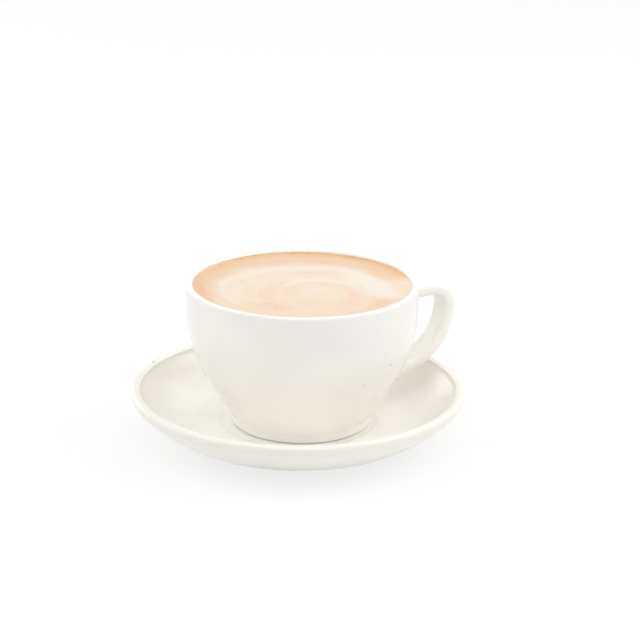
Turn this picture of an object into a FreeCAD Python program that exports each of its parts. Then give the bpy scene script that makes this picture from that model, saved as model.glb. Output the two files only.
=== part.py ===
"""A cup of chai latte on its saucer, as three solids: saucer, cup with its handle, and the drink.

The frame is in millimetres with +Z up. The origin is on the table under the saucer's centre.
The handle points along +X, and the whole is a mirror image of itself across the XZ plane.
"""

import FreeCAD, Part

import math
import os

import Sketcher
from FreeCAD import Vector

DOCUMENT_NAME = "ChaiLatte"
SHEET_NAME = "sizes"
PARTS_FOLDER = "parts"
MATCH = 0.01  # how near an edge or a point has to be to the place it is looked for
SEAM_MATCH = 0.05  # the same, for the edges where the handle's pipe meets the bowl
AXIS_UP = Vector(0, 0, 1)

# A rounding takes at most this share of a wall that is rounded on both sides, or of a face.
WALL_LIMIT = 0.45
FACE_LIMIT = 0.9

# Formulas that several sketches share.
WELL_RADIUS = "sizes.foot_radius + sizes.cup_shift + sizes.well_gap"
ARM_START = "sizes.rim_radius - 2 * sizes.cup_wall"
ARM_HEIGHT = "sizes.cup_height - sizes.arm_drop"
UPRIGHT_HEIGHT = "sizes.cup_height - sizes.side_height"
BOWL_CHORD = (
    f"atan(({UPRIGHT_HEIGHT} - sizes.foot_height) / (sizes.rim_radius - sizes.foot_radius))"
)
FLARE_ANGLE = f"({BOWL_CHORD} - sizes.bowl_fullness * (90 deg - {BOWL_CHORD}))"
UNDER_RISE = "(sizes.saucer_height - sizes.saucer_lip_face - sizes.ring_step)"
UNDER_RUN = "(sizes.saucer_radius - sizes.ring_radius)"
UNDER_CHORD = f"atan({UNDER_RISE} / {UNDER_RUN})"
UNDER_HALF_TURN = f"({UNDER_CHORD} - sizes.saucer_heel_angle * 1 deg)"

# Roundings, each no larger than its wall or face lets it be.
SAUCER_LIP_ROUND = (
    f"min(sizes.saucer_lip_round; sizes.saucer_lip_wall * {WALL_LIMIT};"
    f" sizes.saucer_lip_depth * {FACE_LIMIT})"
)
SHOULDER_CORNER = f"(90 deg - {UNDER_CHORD} - {UNDER_HALF_TURN})"
SHOULDER_ROOM = f"(sizes.saucer_lip_face - {SAUCER_LIP_ROUND}) * {FACE_LIMIT}"
SHOULDER_ROUND = f"min(sizes.saucer_shoulder; {SHOULDER_ROOM} / tan({SHOULDER_CORNER} / 2))"
CUP_LIP_ROUND = f"min(sizes.cup_lip_round; sizes.cup_wall * {WALL_LIMIT})"

# Every driving size, in millimetres or degrees: alias, value, what it is.
SIZES = [
    ("saucer_radius", 80.0, "saucer, centre to outer edge"),
    ("saucer_height", 25.4, "saucer, table to top of rim"),
    ("saucer_lip_wall", 4.0, "thickness of the saucer's rim"),
    ("saucer_lip_face", 3.8, "height of the upright outer face of the saucer's rim"),
    ("saucer_lip_depth", 1.8, "height of the upright inner face of the saucer's rim"),
    ("saucer_lip_round", 1.62, "rounding of the saucer's rim"),
    ("saucer_shoulder", 5.0, "rounding under the saucer's rim"),
    ("saucer_heel_angle", 12.4, "slope of the underside where it leaves the foot ring"),
    ("ring_radius", 46.0, "outer radius of the saucer's foot ring"),
    ("ring_width", 4.5, "width of the saucer's foot ring"),
    ("ring_step", 1.2, "height of the foot ring below the underside"),
    ("ring_recess", 3.2, "height of the hollow inside the foot ring"),
    ("ring_edge", 0.5, "rounding of the foot ring"),
    ("rest_height", 8.0, "height of the well floor that the cup stands on"),
    ("well_depth", 0.8, "depth of the well below the saucer's floor"),
    ("well_gap", 1.0, "room between the cup's foot and the well's edge"),
    ("well_edge", 0.4, "rounding of the well's edge"),
    ("floor_land", 8.0, "width of the flat floor around the well"),
    ("cup_shift", 1.7, "how far the cup stands off the saucer's centre, towards its handle"),
    ("cup_height", 69.5, "cup, foot to top of rim"),
    ("rim_radius", 55.1, "cup, axis to outside of rim"),
    ("cup_wall", 3.3, "thickness of the cup's wall"),
    ("cup_lip_round", 1.48, "rounding of the cup's rim"),
    ("side_height", 11.3, "height of the upright band under the rim"),
    ("bowl_fullness", 0.4935, "shape of the lower bowl: 0 is a straight cone and 1 one single arc"),
    ("foot_radius", 33.3, "outer radius of the cup's foot"),
    ("foot_height", 4.5, "height of the cup's foot"),
    ("foot_width", 4.0, "width of the ring that the cup stands on"),
    ("foot_recess", 2.2, "height of the hollow under the cup"),
    ("foot_edge", 1.4, "rounding of the foot's lower edge"),
    ("foot_waist", 6.0, "soft hollow where the foot meets the bowl"),
    ("base_wall", 4.6, "thickness of the cup's floor"),
    ("floor_curve", 16.0, "radius between the cup's floor and its side, inside"),
    ("arm_drop", 10.5, "cup rim down to the middle of the handle's level arm"),
    ("finger_gap", 18.1, "room between the cup's side and the handle"),
    ("strap_width", 13.6, "width of the handle's strap"),
    ("strap_thick", 6.5, "thickness of the handle's strap"),
    ("strap_corner", 2.7, "rounding of the strap's corners"),
    ("shoulder_radius", 8.9, "bend at the top of the handle, to the middle of the strap"),
    ("loop_turn", 65.0, "angle that the handle's long side turns through"),
    ("root_height", 10.75, "height at which the handle's lower end, carried on, crosses the foot's edge"),
    ("handle_blend", 2.4, "rounding where the handle grows out of the bowl"),
    ("drink_drop", 1.4, "cup rim down to the surface of the drink"),
    ("drink_gap", 0.05, "room between the drink and the cup's inside"),
]


def make_sheet(document):
    """Puts every driving size in a spreadsheet, each cell under its alias."""
    sheet = document.addObject("Spreadsheet::Sheet", SHEET_NAME)
    for row, (alias, value, meaning) in enumerate(SIZES, start=1):
        sheet.set(f"A{row}", alias.replace("_", " "))
        sheet.set(f"B{row}", str(value))
        sheet.set(f"C{row}", meaning)
        sheet.setAlias(f"B{row}", alias)
    document.recompute()
    return sheet


def origin_feature(body, role):
    """Returns the body's own origin plane or axis that has the given role."""
    return next(item for item in body.Origin.OriginFeatures if item.Role == role)


def point(x, y):
    """Returns a point of a sketch."""
    return Vector(x, y, 0)


def well_radius(sheet):
    """Returns the radius of the saucer's well, which has room for the cup where it stands."""
    return sheet.foot_radius + sheet.cup_shift + sheet.well_gap


def arm_start(sheet):
    """Returns how far from the cup's axis the handle's arm starts, inside the wall."""
    return sheet.rim_radius - 2 * sheet.cup_wall


def arm_height(sheet):
    """Returns the height of the middle of the handle's arm above the cup's foot."""
    return sheet.cup_height - sheet.arm_drop


class BowlSide:
    """The outer side of the bowl: a straight flare up from the foot, an arc, an upright band."""

    def __init__(self, sheet):
        self.foot = point(sheet.foot_radius, sheet.foot_height)
        self.rim_radius = sheet.rim_radius
        self.upright = sheet.cup_height - sheet.side_height
        rise = self.upright - sheet.foot_height
        run = sheet.rim_radius - sheet.foot_radius
        chord = math.atan2(rise, run)
        self.slope = chord - sheet.bowl_fullness * (math.pi / 2 - chord)
        along = rise * math.cos(self.slope) - run * math.sin(self.slope)
        self.radius = along / (1 - math.sin(self.slope))
        self.centre = point(sheet.rim_radius - self.radius, self.upright)
        self.outward = point(math.sin(self.slope), -math.cos(self.slope))
        self.arc_start = math.degrees(self.slope) - 90

    def radius_at(self, height):
        """Returns how far the side is from the cup's axis at a height above the cup's foot."""
        drop = self.upright - height
        if drop < 0:
            return self.rim_radius
        if drop < self.radius * math.cos(self.slope):
            return self.centre.x + math.sqrt(self.radius**2 - drop**2)
        return self.foot.x + (height - self.foot.y) / math.tan(self.slope)


class Outline:
    """A sketch drawn as lines and arcs from point to point, each size bound to the sheet."""

    def __init__(self, body, name, plane):
        self.sketch = body.newObject("Sketcher::SketchObject", name)
        self.sketch.AttachmentSupport = (origin_feature(body, plane), [""])
        self.sketch.MapMode = "FlatFace"

    def line(self, start, end):
        """Adds a line and returns its number."""
        return self.sketch.addGeometry(Part.LineSegment(start, end), False)

    def mark(self, place):
        """Adds a construction point and returns its number."""
        return self.sketch.addGeometry(Part.Point(place), True)

    def arc(self, centre, radius, first, last):
        """Adds an arc, anticlockwise between two angles in degrees, and returns its number."""
        circle = Part.Circle(centre, AXIS_UP, radius)
        piece = Part.ArcOfCircle(circle, math.radians(first), math.radians(last))
        return self.sketch.addGeometry(piece, False)

    def bind(self, name, formula, *constraint):
        """Adds a constraint whose value is a formula of the sheet's aliases."""
        index = self.sketch.addConstraint(Sketcher.Constraint(*constraint))
        self.sketch.renameConstraint(index, name)
        self.sketch.setExpression(f"Constraints.{name}", formula)

    def tie(self, *constraint):
        """Adds a constraint that has no value."""
        self.sketch.addConstraint(Sketcher.Constraint(*constraint))

    def place(self, name, geometry, end, across, up):
        """Fixes a point by its distance from the sketch's upright and level axes."""
        drawn = self.sketch.getPoint(geometry, end)
        if across is not None:
            self.bind(f"{name}_across", across, "DistanceX", -1, 1, geometry, end, drawn.x)
        if up is not None:
            self.bind(f"{name}_up", up, "DistanceY", -1, 1, geometry, end, drawn.y)


def revolve(body, kind, name, sketch):
    """Turns a sketch once round its upright axis, to add or to cut."""
    feature = body.newObject(kind, name)
    feature.Profile = sketch
    feature.ReferenceAxis = (sketch, ["V_Axis"])
    feature.Angle = 360.0
    sketch.Document.recompute()
    return feature


def ring_edges(shape, radius, height):
    """Names the circles of a shape that lie level at a radius and a height."""
    names = []
    for number, edge in enumerate(shape.Edges, start=1):
        curve = edge.Curve
        if not isinstance(curve, Part.Circle):
            continue
        level = abs(curve.Center.z - height) < MATCH and abs(curve.Axis.z) > 1 - MATCH
        if level and abs(curve.Radius - radius) < MATCH:
            names.append(f"Edge{number}")
    return names


def round_edges(body, base, name, edges, formula):
    """Rounds the named edges of a feature with a radius bound to the sheet."""
    feature = body.newObject("PartDesign::Fillet", name)
    feature.Base = (base, edges)
    feature.setExpression("Radius", formula)
    base.Document.recompute()
    return feature


# ---------------------------------------------------------------- saucer


def saucer_outline(body, sheet):
    """Draws half of the saucer's cut face, from its axis round the underside to the well."""
    outline = Outline(body, "saucer_outline", "YZ_Plane")
    ring_inner = sheet.ring_radius - sheet.ring_width
    well = well_radius(sheet)
    floor = sheet.rest_height + sheet.well_depth
    land = well + sheet.floor_land
    inner = sheet.saucer_radius - sheet.saucer_lip_wall
    heel = point(sheet.ring_radius, sheet.ring_step)
    brow = point(sheet.saucer_radius, sheet.saucer_height - sheet.saucer_lip_face)
    shelf = point(inner, sheet.saucer_height - sheet.saucer_lip_depth)

    # The underside is an arc that leaves the heel at a slope and ends under the lip.
    chord = brow - heel
    half_turn = math.atan2(chord.y, chord.x) - math.radians(sheet.saucer_heel_angle)
    under_radius = chord.Length / 2 / math.sin(half_turn)
    start = math.radians(sheet.saucer_heel_angle) - math.pi / 2
    under_centre = heel - point(math.cos(start), math.sin(start)) * under_radius
    under_end = math.degrees(start + 2 * half_turn)

    # The inside is an arc that leaves the floor level and ends at the lip.
    run = shelf.x - land
    rise = shelf.y - floor
    dish_radius = (run * run + rise * rise) / (2 * rise)
    dish_centre = point(land, floor + dish_radius)
    dish_end = math.degrees(math.atan2(rise - dish_radius, run))

    corners = [
        point(0, sheet.ring_recess),
        point(ring_inner, sheet.ring_recess),
        point(ring_inner, 0),
        point(sheet.ring_radius, 0),
        heel,
    ]
    lines = [outline.line(a, b) for a, b in zip(corners, corners[1:])]
    recess, ring_side, ring_foot, ring_face = lines
    under = outline.arc(under_centre, under_radius, math.degrees(start), under_end)
    lip_face = outline.line(brow, point(sheet.saucer_radius, sheet.saucer_height))
    lip_top = outline.line(
        point(sheet.saucer_radius, sheet.saucer_height), point(inner, sheet.saucer_height)
    )
    lip_inside = outline.line(point(inner, sheet.saucer_height), shelf)
    dish = outline.arc(dish_centre, dish_radius, -90, dish_end)
    land_line = outline.line(point(land, floor), point(well, floor))
    well_side = outline.line(point(well, floor), point(well, sheet.rest_height))
    well_floor = outline.line(point(well, sheet.rest_height), point(0, sheet.rest_height))
    axis = outline.line(point(0, sheet.rest_height), point(0, sheet.ring_recess))

    chain = [
        (recess, 2, ring_side, 1),
        (ring_side, 2, ring_foot, 1),
        (ring_foot, 2, ring_face, 1),
        (ring_face, 2, under, 1),
        (under, 2, lip_face, 1),
        (lip_face, 2, lip_top, 1),
        (lip_top, 2, lip_inside, 1),
        (lip_inside, 2, dish, 2),
        (land_line, 2, well_side, 1),
        (well_side, 2, well_floor, 1),
        (well_floor, 2, axis, 1),
        (axis, 2, recess, 1),
    ]
    for link in chain:
        outline.tie("Coincident", *link)
    for level in (recess, ring_foot, lip_top, land_line, well_floor):
        outline.tie("Horizontal", level)
    for upright in (ring_side, ring_face, lip_face, lip_inside, well_side, axis):
        outline.tie("Vertical", upright)
    outline.tie("Tangent", dish, 1, land_line, 1)
    outline.tie("PointOnObject", recess, 1, -2)
    outline.tie("PointOnObject", ring_foot, 1, -1)
    outline.place("recess", recess, 1, None, "sizes.ring_recess")
    outline.place("ring_inner", ring_foot, 1, "sizes.ring_radius - sizes.ring_width", None)
    outline.place("ring_outer", ring_foot, 2, "sizes.ring_radius", None)
    outline.place("heel", ring_face, 2, None, "sizes.ring_step")
    outline.place(
        "brow", lip_face, 1, "sizes.saucer_radius", "sizes.saucer_height - sizes.saucer_lip_face"
    )
    outline.place("lip", lip_top, 1, None, "sizes.saucer_height")
    outline.place(
        "shelf",
        lip_inside,
        2,
        "sizes.saucer_radius - sizes.saucer_lip_wall",
        "sizes.saucer_height - sizes.saucer_lip_depth",
    )
    outline.place("well", well_side, 1, WELL_RADIUS, "sizes.rest_height + sizes.well_depth")
    outline.place("land", land_line, 1, f"{WELL_RADIUS} + sizes.floor_land", None)
    outline.place("rest", well_floor, 1, None, "sizes.rest_height")
    half_chord = f"sqrt({UNDER_RISE}^2 + {UNDER_RUN}^2) / 2"
    under_text = f"{half_chord} / sin({UNDER_HALF_TURN})"
    outline.bind("under_radius", under_text, "Radius", under, under_radius)
    return outline.sketch


def make_saucer(document, sheet):
    """Makes the saucer: a dish with a well for the cup, a foot ring and a rounded lip."""
    body = document.addObject("PartDesign::Body", "saucer")
    body.Label = "saucer"
    dish = revolve(body, "PartDesign::Revolution", "saucer_dish", saucer_outline(body, sheet))
    inner = sheet.saucer_radius - sheet.saucer_lip_wall
    lip = ring_edges(dish.Shape, sheet.saucer_radius, sheet.saucer_height)
    lip += ring_edges(dish.Shape, inner, sheet.saucer_height)
    lip_round = round_edges(body, dish, "lip_round", lip, SAUCER_LIP_ROUND)

    brow_height = sheet.saucer_height - sheet.saucer_lip_face
    brow = ring_edges(lip_round.Shape, sheet.saucer_radius, brow_height)
    shoulder = round_edges(body, lip_round, "shoulder", brow, SHOULDER_ROUND)

    floor = sheet.rest_height + sheet.well_depth
    well_edge = ring_edges(shoulder.Shape, well_radius(sheet), floor)
    well_round = round_edges(body, shoulder, "well_round", well_edge, "sizes.well_edge")

    foot = ring_edges(well_round.Shape, sheet.ring_radius, 0)
    foot += ring_edges(well_round.Shape, sheet.ring_radius - sheet.ring_width, 0)
    round_edges(body, well_round, "ring_round", foot, "sizes.ring_edge")
    return body


# ---------------------------------------------------------------- cup


def cup_outline(body, sheet):
    """Draws half of the cup's outer shape, solid to its axis."""
    outline = Outline(body, "cup_outline", "YZ_Plane")
    bowl_side = BowlSide(sheet)
    tangent = bowl_side.centre + bowl_side.outward * bowl_side.radius

    foot = outline.line(point(0, 0), point(sheet.foot_radius, 0))
    foot_face = outline.line(point(sheet.foot_radius, 0), bowl_side.foot)
    flare = outline.line(bowl_side.foot, tangent)
    bowl = outline.arc(bowl_side.centre, bowl_side.radius, bowl_side.arc_start, 0)
    side = outline.line(
        point(sheet.rim_radius, bowl_side.upright), point(sheet.rim_radius, sheet.cup_height)
    )
    rim = outline.line(point(sheet.rim_radius, sheet.cup_height), point(0, sheet.cup_height))
    axis = outline.line(point(0, sheet.cup_height), point(0, 0))

    outline.tie("Coincident", foot, 2, foot_face, 1)
    outline.tie("Coincident", foot_face, 2, flare, 1)
    outline.tie("Tangent", flare, 2, bowl, 1)
    outline.tie("Tangent", bowl, 2, side, 1)
    outline.tie("Coincident", side, 2, rim, 1)
    outline.tie("Coincident", rim, 2, axis, 1)
    outline.tie("Coincident", axis, 2, foot, 1)
    outline.tie("Coincident", foot, 1, -1, 1)
    for level in (foot, rim):
        outline.tie("Horizontal", level)
    for straight in (foot_face, side, axis):
        outline.tie("Vertical", straight)
    outline.place("foot", foot_face, 2, "sizes.foot_radius", "sizes.foot_height")
    outline.place("rim", side, 2, "sizes.rim_radius", "sizes.cup_height")
    outline.place("upright", side, 1, None, UPRIGHT_HEIGHT)
    outline.bind("flare", FLARE_ANGLE, "Angle", flare, bowl_side.slope)
    return outline.sketch


def inside_outline(body, sheet, name, gap, gap_text, top, top_text):
    """Draws half of the cup's inside, or of what fills it with a gap, up to a height."""
    outline = Outline(body, name, "YZ_Plane")
    bowl_side = BowlSide(sheet)
    inset = sheet.cup_wall + gap
    bottom = sheet.foot_recess + sheet.base_wall + gap
    corner = sheet.floor_curve - gap
    side = sheet.rim_radius - inset
    # The inside runs parallel to the outside, so its arc has the same centre.
    bowl_radius = bowl_side.radius - inset
    tangent = bowl_side.centre + bowl_side.outward * bowl_radius
    guide = bowl_side.foot - bowl_side.outward * inset
    # The floor's corner is an arc that touches the level floor and the straight flare.
    corner_up = bottom + corner
    along = (corner_up - guide.y) * math.cos(bowl_side.slope) - corner
    corner_centre = point(guide.x + along / math.sin(bowl_side.slope), corner_up)
    corner_end = corner_centre + bowl_side.outward * corner

    floor = outline.line(point(0, bottom), point(corner_centre.x, bottom))
    curve = outline.arc(corner_centre, corner, -90, bowl_side.arc_start)
    flare = outline.line(corner_end, tangent)
    bowl = outline.arc(bowl_side.centre, bowl_radius, bowl_side.arc_start, 0)
    wall = outline.line(point(side, bowl_side.upright), point(side, top))
    lid = outline.line(point(side, top), point(0, top))
    axis = outline.line(point(0, top), point(0, bottom))
    mark = outline.mark(guide)

    outline.tie("Tangent", floor, 2, curve, 1)
    outline.tie("Tangent", curve, 2, flare, 1)
    outline.tie("Tangent", flare, 2, bowl, 1)
    outline.tie("Tangent", bowl, 2, wall, 1)
    outline.tie("Coincident", wall, 2, lid, 1)
    outline.tie("Coincident", lid, 2, axis, 1)
    outline.tie("Coincident", axis, 2, floor, 1)
    outline.tie("PointOnObject", floor, 1, -2)
    outline.tie("PointOnObject", mark, 1, flare)
    for level in (floor, lid):
        outline.tie("Horizontal", level)
    for straight in (wall, axis):
        outline.tie("Vertical", straight)
    inset_text = f"(sizes.cup_wall + {gap_text})"
    guide_across = f"sizes.foot_radius - {inset_text} * sin({FLARE_ANGLE})"
    guide_up = f"sizes.foot_height + {inset_text} * cos({FLARE_ANGLE})"
    outline.place("guide", mark, 1, guide_across, guide_up)
    outline.place("floor", floor, 1, None, f"sizes.foot_recess + sizes.base_wall + {gap_text}")
    outline.place("top", wall, 2, f"sizes.rim_radius - {inset_text}", top_text)
    outline.place("upright", wall, 1, None, UPRIGHT_HEIGHT)
    outline.bind("flare", FLARE_ANGLE, "Angle", flare, bowl_side.slope)
    outline.bind("corner", f"sizes.floor_curve - {gap_text}", "Radius", curve, corner)
    return outline.sketch


def handle_path(body, sheet):
    """Draws the middle line of the handle, from inside the bowl out, down and back in."""
    outline = Outline(body, "handle_path", "XZ_Plane")
    start = arm_start(sheet)
    arm = arm_height(sheet)
    reach = sheet.rim_radius + sheet.finger_gap + sheet.strap_thick / 2
    turn = math.radians(sheet.loop_turn)
    loop_top = arm - sheet.shoulder_radius
    # The long side's arc runs on into a straight line that crosses the foot's edge at
    # root_height and ends as far inside it as the strap is thick.
    tail_end = point(
        sheet.foot_radius - sheet.strap_thick,
        sheet.root_height - sheet.strap_thick / math.tan(turn),
    )
    down = (loop_top - tail_end.y) * math.sin(turn) - (reach - tail_end.x) * math.cos(turn)
    loop_radius = down / (1 - math.cos(turn))
    bend_centre = point(reach - sheet.shoulder_radius, loop_top)
    loop_centre = point(reach - loop_radius, loop_top)
    loop_end = loop_centre + point(math.cos(turn), -math.sin(turn)) * loop_radius

    level = outline.line(point(start, arm), point(bend_centre.x, arm))
    bend = outline.arc(bend_centre, sheet.shoulder_radius, 0, 90)
    loop = outline.arc(loop_centre, loop_radius, -sheet.loop_turn, 0)
    root = outline.line(loop_end, tail_end)

    outline.tie("Horizontal", level)
    outline.tie("Tangent", level, 2, bend, 2)
    outline.tie("Tangent", bend, 1, loop, 2)
    outline.tie("Tangent", loop, 1, root, 1)
    outline.place("start", level, 1, ARM_START, ARM_HEIGHT)
    reach_text = "sizes.rim_radius + sizes.finger_gap + sizes.strap_thick / 2"
    outline.place("reach", bend, 1, reach_text, f"{ARM_HEIGHT} - sizes.shoulder_radius")
    outline.bind("bend", "sizes.shoulder_radius", "Radius", bend, sheet.shoulder_radius)
    outline.bind("turn", "sizes.loop_turn * 1 deg", "Angle", loop, turn)
    root_text = "sizes.root_height - sizes.strap_thick / tan(sizes.loop_turn * 1 deg)"
    outline.place("root", root, 2, "sizes.foot_radius - sizes.strap_thick", root_text)
    return outline.sketch


def handle_section(body, sheet):
    """Draws the strap's cut face, a rounded rectangle, where the level arm starts."""
    outline = Outline(body, "handle_section", "YZ_Plane")
    sketch = outline.sketch
    sketch.setExpression("AttachmentOffset.Base.z", ARM_START)
    middle = arm_height(sheet)
    wide = sheet.strap_width / 2
    half = sheet.strap_thick / 2
    corner = sheet.strap_corner
    flat = wide - corner
    low = middle - half
    high = middle + half

    under = outline.line(point(-flat, low), point(flat, low))
    right = outline.line(point(wide, low + corner), point(wide, high - corner))
    over = outline.line(point(flat, high), point(-flat, high))
    left = outline.line(point(-wide, high - corner), point(-wide, low + corner))
    turns = [
        outline.arc(point(flat, low + corner), corner, -90, 0),
        outline.arc(point(flat, high - corner), corner, 0, 90),
        outline.arc(point(-flat, high - corner), corner, 90, 180),
        outline.arc(point(-flat, low + corner), corner, 180, 270),
    ]
    sides = [under, right, over, left]
    for index, turn in enumerate(turns):
        outline.tie("Tangent", sides[index], 2, turn, 1)
        outline.tie("Tangent", turn, 2, sides[(index + 1) % len(sides)], 1)
    outline.tie("Horizontal", over)
    for upright in (left, right):
        outline.tie("Vertical", upright)
    for turn in turns[1:]:
        outline.tie("Equal", turns[0], turn)
    outline.tie("Symmetric", under, 1, under, 2, -2)
    outline.bind("width", "sizes.strap_width", "Distance", left, 1, right, sheet.strap_width)
    outline.place("under", under, 2, None, f"{ARM_HEIGHT} - sizes.strap_thick / 2")
    outline.place("over", over, 2, None, f"{ARM_HEIGHT} + sizes.strap_thick / 2")
    outline.bind("corner", "sizes.strap_corner", "Radius", turns[0], corner)
    return sketch


def joint_edges(shape, sheet):
    """Names the edges where the handle's strap meets the bowl's outer side."""
    bowl_side = BowlSide(sheet)

    def on_bowl(place):
        """Says whether a point lies on the bowl's outer side."""
        return abs(math.hypot(place.x, place.y) - bowl_side.radius_at(place.z)) < SEAM_MATCH

    names = []
    for number, edge in enumerate(shape.Edges, start=1):
        middle = edge.valueAt((edge.FirstParameter + edge.LastParameter) / 2)
        if middle.x < sheet.foot_radius or abs(middle.y) > sheet.strap_width / 2 + MATCH:
            continue
        if isinstance(edge.Curve, Part.Circle) and abs(edge.Curve.Axis.z) > 1 - MATCH:
            continue
        ends = [vertex.Point for vertex in edge.Vertexes]
        if all(on_bowl(place) for place in ends + [middle]):
            names.append(f"Edge{number}")
    return names


def recess_outline(body, sheet):
    """Draws half of the shallow hollow under the cup, inside the ring that it stands on."""
    recess = Outline(body, "recess_outline", "YZ_Plane")
    wide = sheet.foot_radius - sheet.foot_width
    base = recess.line(point(0, 0), point(wide, 0))
    side = recess.line(point(wide, 0), point(wide, sheet.foot_recess))
    roof = recess.line(point(wide, sheet.foot_recess), point(0, sheet.foot_recess))
    axis = recess.line(point(0, sheet.foot_recess), point(0, 0))
    ring = [base, side, roof, axis]
    for index, piece in enumerate(ring):
        recess.tie("Coincident", piece, 2, ring[(index + 1) % len(ring)], 1)
    recess.tie("Coincident", base, 1, -1, 1)
    for level in (base, roof):
        recess.tie("Horizontal", level)
    for straight in (side, axis):
        recess.tie("Vertical", straight)
    recess.place("roof", side, 2, "sizes.foot_radius - sizes.foot_width", "sizes.foot_recess")
    return recess.sketch


def make_cup(document, sheet):
    """Makes the cup: a bowl on a low foot with one strap handle, all one piece."""
    body = document.addObject("PartDesign::Body", "cup")
    body.Label = "cup"
    bowl = revolve(body, "PartDesign::Revolution", "cup_bowl", cup_outline(body, sheet))

    path = handle_path(body, sheet)
    section = handle_section(body, sheet)
    document.recompute()
    handle = body.newObject("PartDesign::AdditivePipe", "handle")
    handle.Profile = section
    handle.Spine = path
    handle.Mode = "Standard"
    document.recompute()

    joint = joint_edges(handle.Shape, sheet)
    blend = round_edges(body, handle, "handle_blend", joint, "sizes.handle_blend")

    waist = ring_edges(blend.Shape, sheet.foot_radius, sheet.foot_height)
    foot_waist = round_edges(body, blend, "foot_waist", waist, "sizes.foot_waist")

    hollow_top = sheet.cup_height + sheet.cup_wall
    hollow_sketch = inside_outline(
        body, sheet, "hollow_outline", 0, "0", hollow_top, "sizes.cup_height + sizes.cup_wall"
    )
    revolve(body, "PartDesign::Groove", "hollow", hollow_sketch)
    under = revolve(body, "PartDesign::Groove", "foot_hollow", recess_outline(body, sheet))

    lip = ring_edges(under.Shape, sheet.rim_radius, sheet.cup_height)
    lip += ring_edges(under.Shape, sheet.rim_radius - sheet.cup_wall, sheet.cup_height)
    lip_round = round_edges(body, under, "lip_round", lip, CUP_LIP_ROUND)

    foot = ring_edges(lip_round.Shape, sheet.foot_radius, 0)
    round_edges(body, lip_round, "foot_round", foot, "sizes.foot_edge")

    body.setExpression("Placement.Base.x", "sizes.cup_shift")
    body.setExpression("Placement.Base.z", "sizes.rest_height")
    document.recompute()
    return body


# ---------------------------------------------------------------- drink


def make_latte(document, sheet):
    """Makes the drink: it fills the cup's inside up to its surface."""
    body = document.addObject("PartDesign::Body", "latte")
    body.Label = "latte"
    sketch = inside_outline(
        body,
        sheet,
        "latte_outline",
        sheet.drink_gap,
        "sizes.drink_gap",
        sheet.cup_height - sheet.drink_drop,
        "sizes.cup_height - sizes.drink_drop",
    )
    revolve(body, "PartDesign::Revolution", "latte_fill", sketch)
    body.setExpression("Placement.Base.x", "sizes.cup_shift")
    body.setExpression("Placement.Base.z", "sizes.rest_height")
    document.recompute()
    return body


# ---------------------------------------------------------------- whole


def check(document, bodies):
    """Stops if any object failed to compute or any body is not one sound solid."""
    for item in document.Objects:
        state = " ".join(item.State)
        if "Invalid" in state or "Error" in state:
            raise RuntimeError(f"{item.Name} did not compute: {state}")
    for body in bodies:
        shape = body.Shape
        if shape.isNull() or not shape.isValid():
            raise RuntimeError(f"{body.Label} has no sound shape")
        if len(shape.Solids) != 1:
            raise RuntimeError(f"{body.Label} is {len(shape.Solids)} solids")


def main():
    """Builds the document and writes one STEP file for each sub-part."""
    document = FreeCAD.newDocument(DOCUMENT_NAME)
    sheet = make_sheet(document)
    bodies = [
        make_saucer(document, sheet),
        make_cup(document, sheet),
        make_latte(document, sheet),
    ]
    document.recompute()
    check(document, bodies)
    os.makedirs(PARTS_FOLDER, exist_ok=True)
    for body in bodies:
        body.Shape.exportStep(os.path.join(PARTS_FOLDER, f"{body.Label}.step"))
        box = body.Shape.BoundBox
        volume = body.Shape.Volume / 1000
        print(f"{body.Label}: {volume:.1f} cm3, x {box.XMin:.2f} to {box.XMax:.2f}, "
              f"y {box.YMin:.2f} to {box.YMax:.2f}, z {box.ZMin:.2f} to {box.ZMax:.2f}")


main()
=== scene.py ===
"""A cup of chai latte on its saucer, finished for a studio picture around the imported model.

The stoneware is turned from outlines, the handle is a bent strap that flows into the bowl, and
the drink is milky tea with a soft swirl of foam. Lengths are in metres and angles in degrees
unless a name says otherwise, in the model's own frame: +Z up, the handle along +X, and the
origin on the table under the saucer's centre.
"""

from __future__ import annotations

import logging
import math
from dataclasses import dataclass, field
from enum import Enum
from typing import Callable

import bpy
import numpy as np
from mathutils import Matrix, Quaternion, Vector

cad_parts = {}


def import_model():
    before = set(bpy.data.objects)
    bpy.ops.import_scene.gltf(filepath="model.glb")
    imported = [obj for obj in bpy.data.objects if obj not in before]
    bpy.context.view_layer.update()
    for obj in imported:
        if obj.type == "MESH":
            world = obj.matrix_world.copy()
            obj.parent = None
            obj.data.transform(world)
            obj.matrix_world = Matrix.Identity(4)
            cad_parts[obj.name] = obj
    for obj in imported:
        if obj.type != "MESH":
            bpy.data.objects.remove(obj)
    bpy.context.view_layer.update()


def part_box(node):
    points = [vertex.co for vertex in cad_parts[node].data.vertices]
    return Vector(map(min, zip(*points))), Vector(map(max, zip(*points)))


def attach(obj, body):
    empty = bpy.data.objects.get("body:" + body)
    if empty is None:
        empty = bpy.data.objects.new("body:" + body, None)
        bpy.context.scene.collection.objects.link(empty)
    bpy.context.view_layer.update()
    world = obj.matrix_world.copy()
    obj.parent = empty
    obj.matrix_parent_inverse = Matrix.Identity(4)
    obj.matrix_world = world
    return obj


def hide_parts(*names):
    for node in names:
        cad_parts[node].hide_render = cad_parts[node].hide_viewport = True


MM = 0.001
BODY = "root"
log = logging.getLogger("chai_latte")

WELL_GAP = 1.0 * MM  # Least room between the cup's foot and the saucer's well.
WIPED = 0.25 * MM  # How far up a foot the glaze was wiped off.

Colour = tuple[float, float, float, float]
Shell = tuple[np.ndarray, list[tuple[int, ...]]]
Input = bpy.types.NodeSocket | float | Colour

WHITE: Colour = (1.0, 1.0, 1.0, 1.0)


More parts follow.
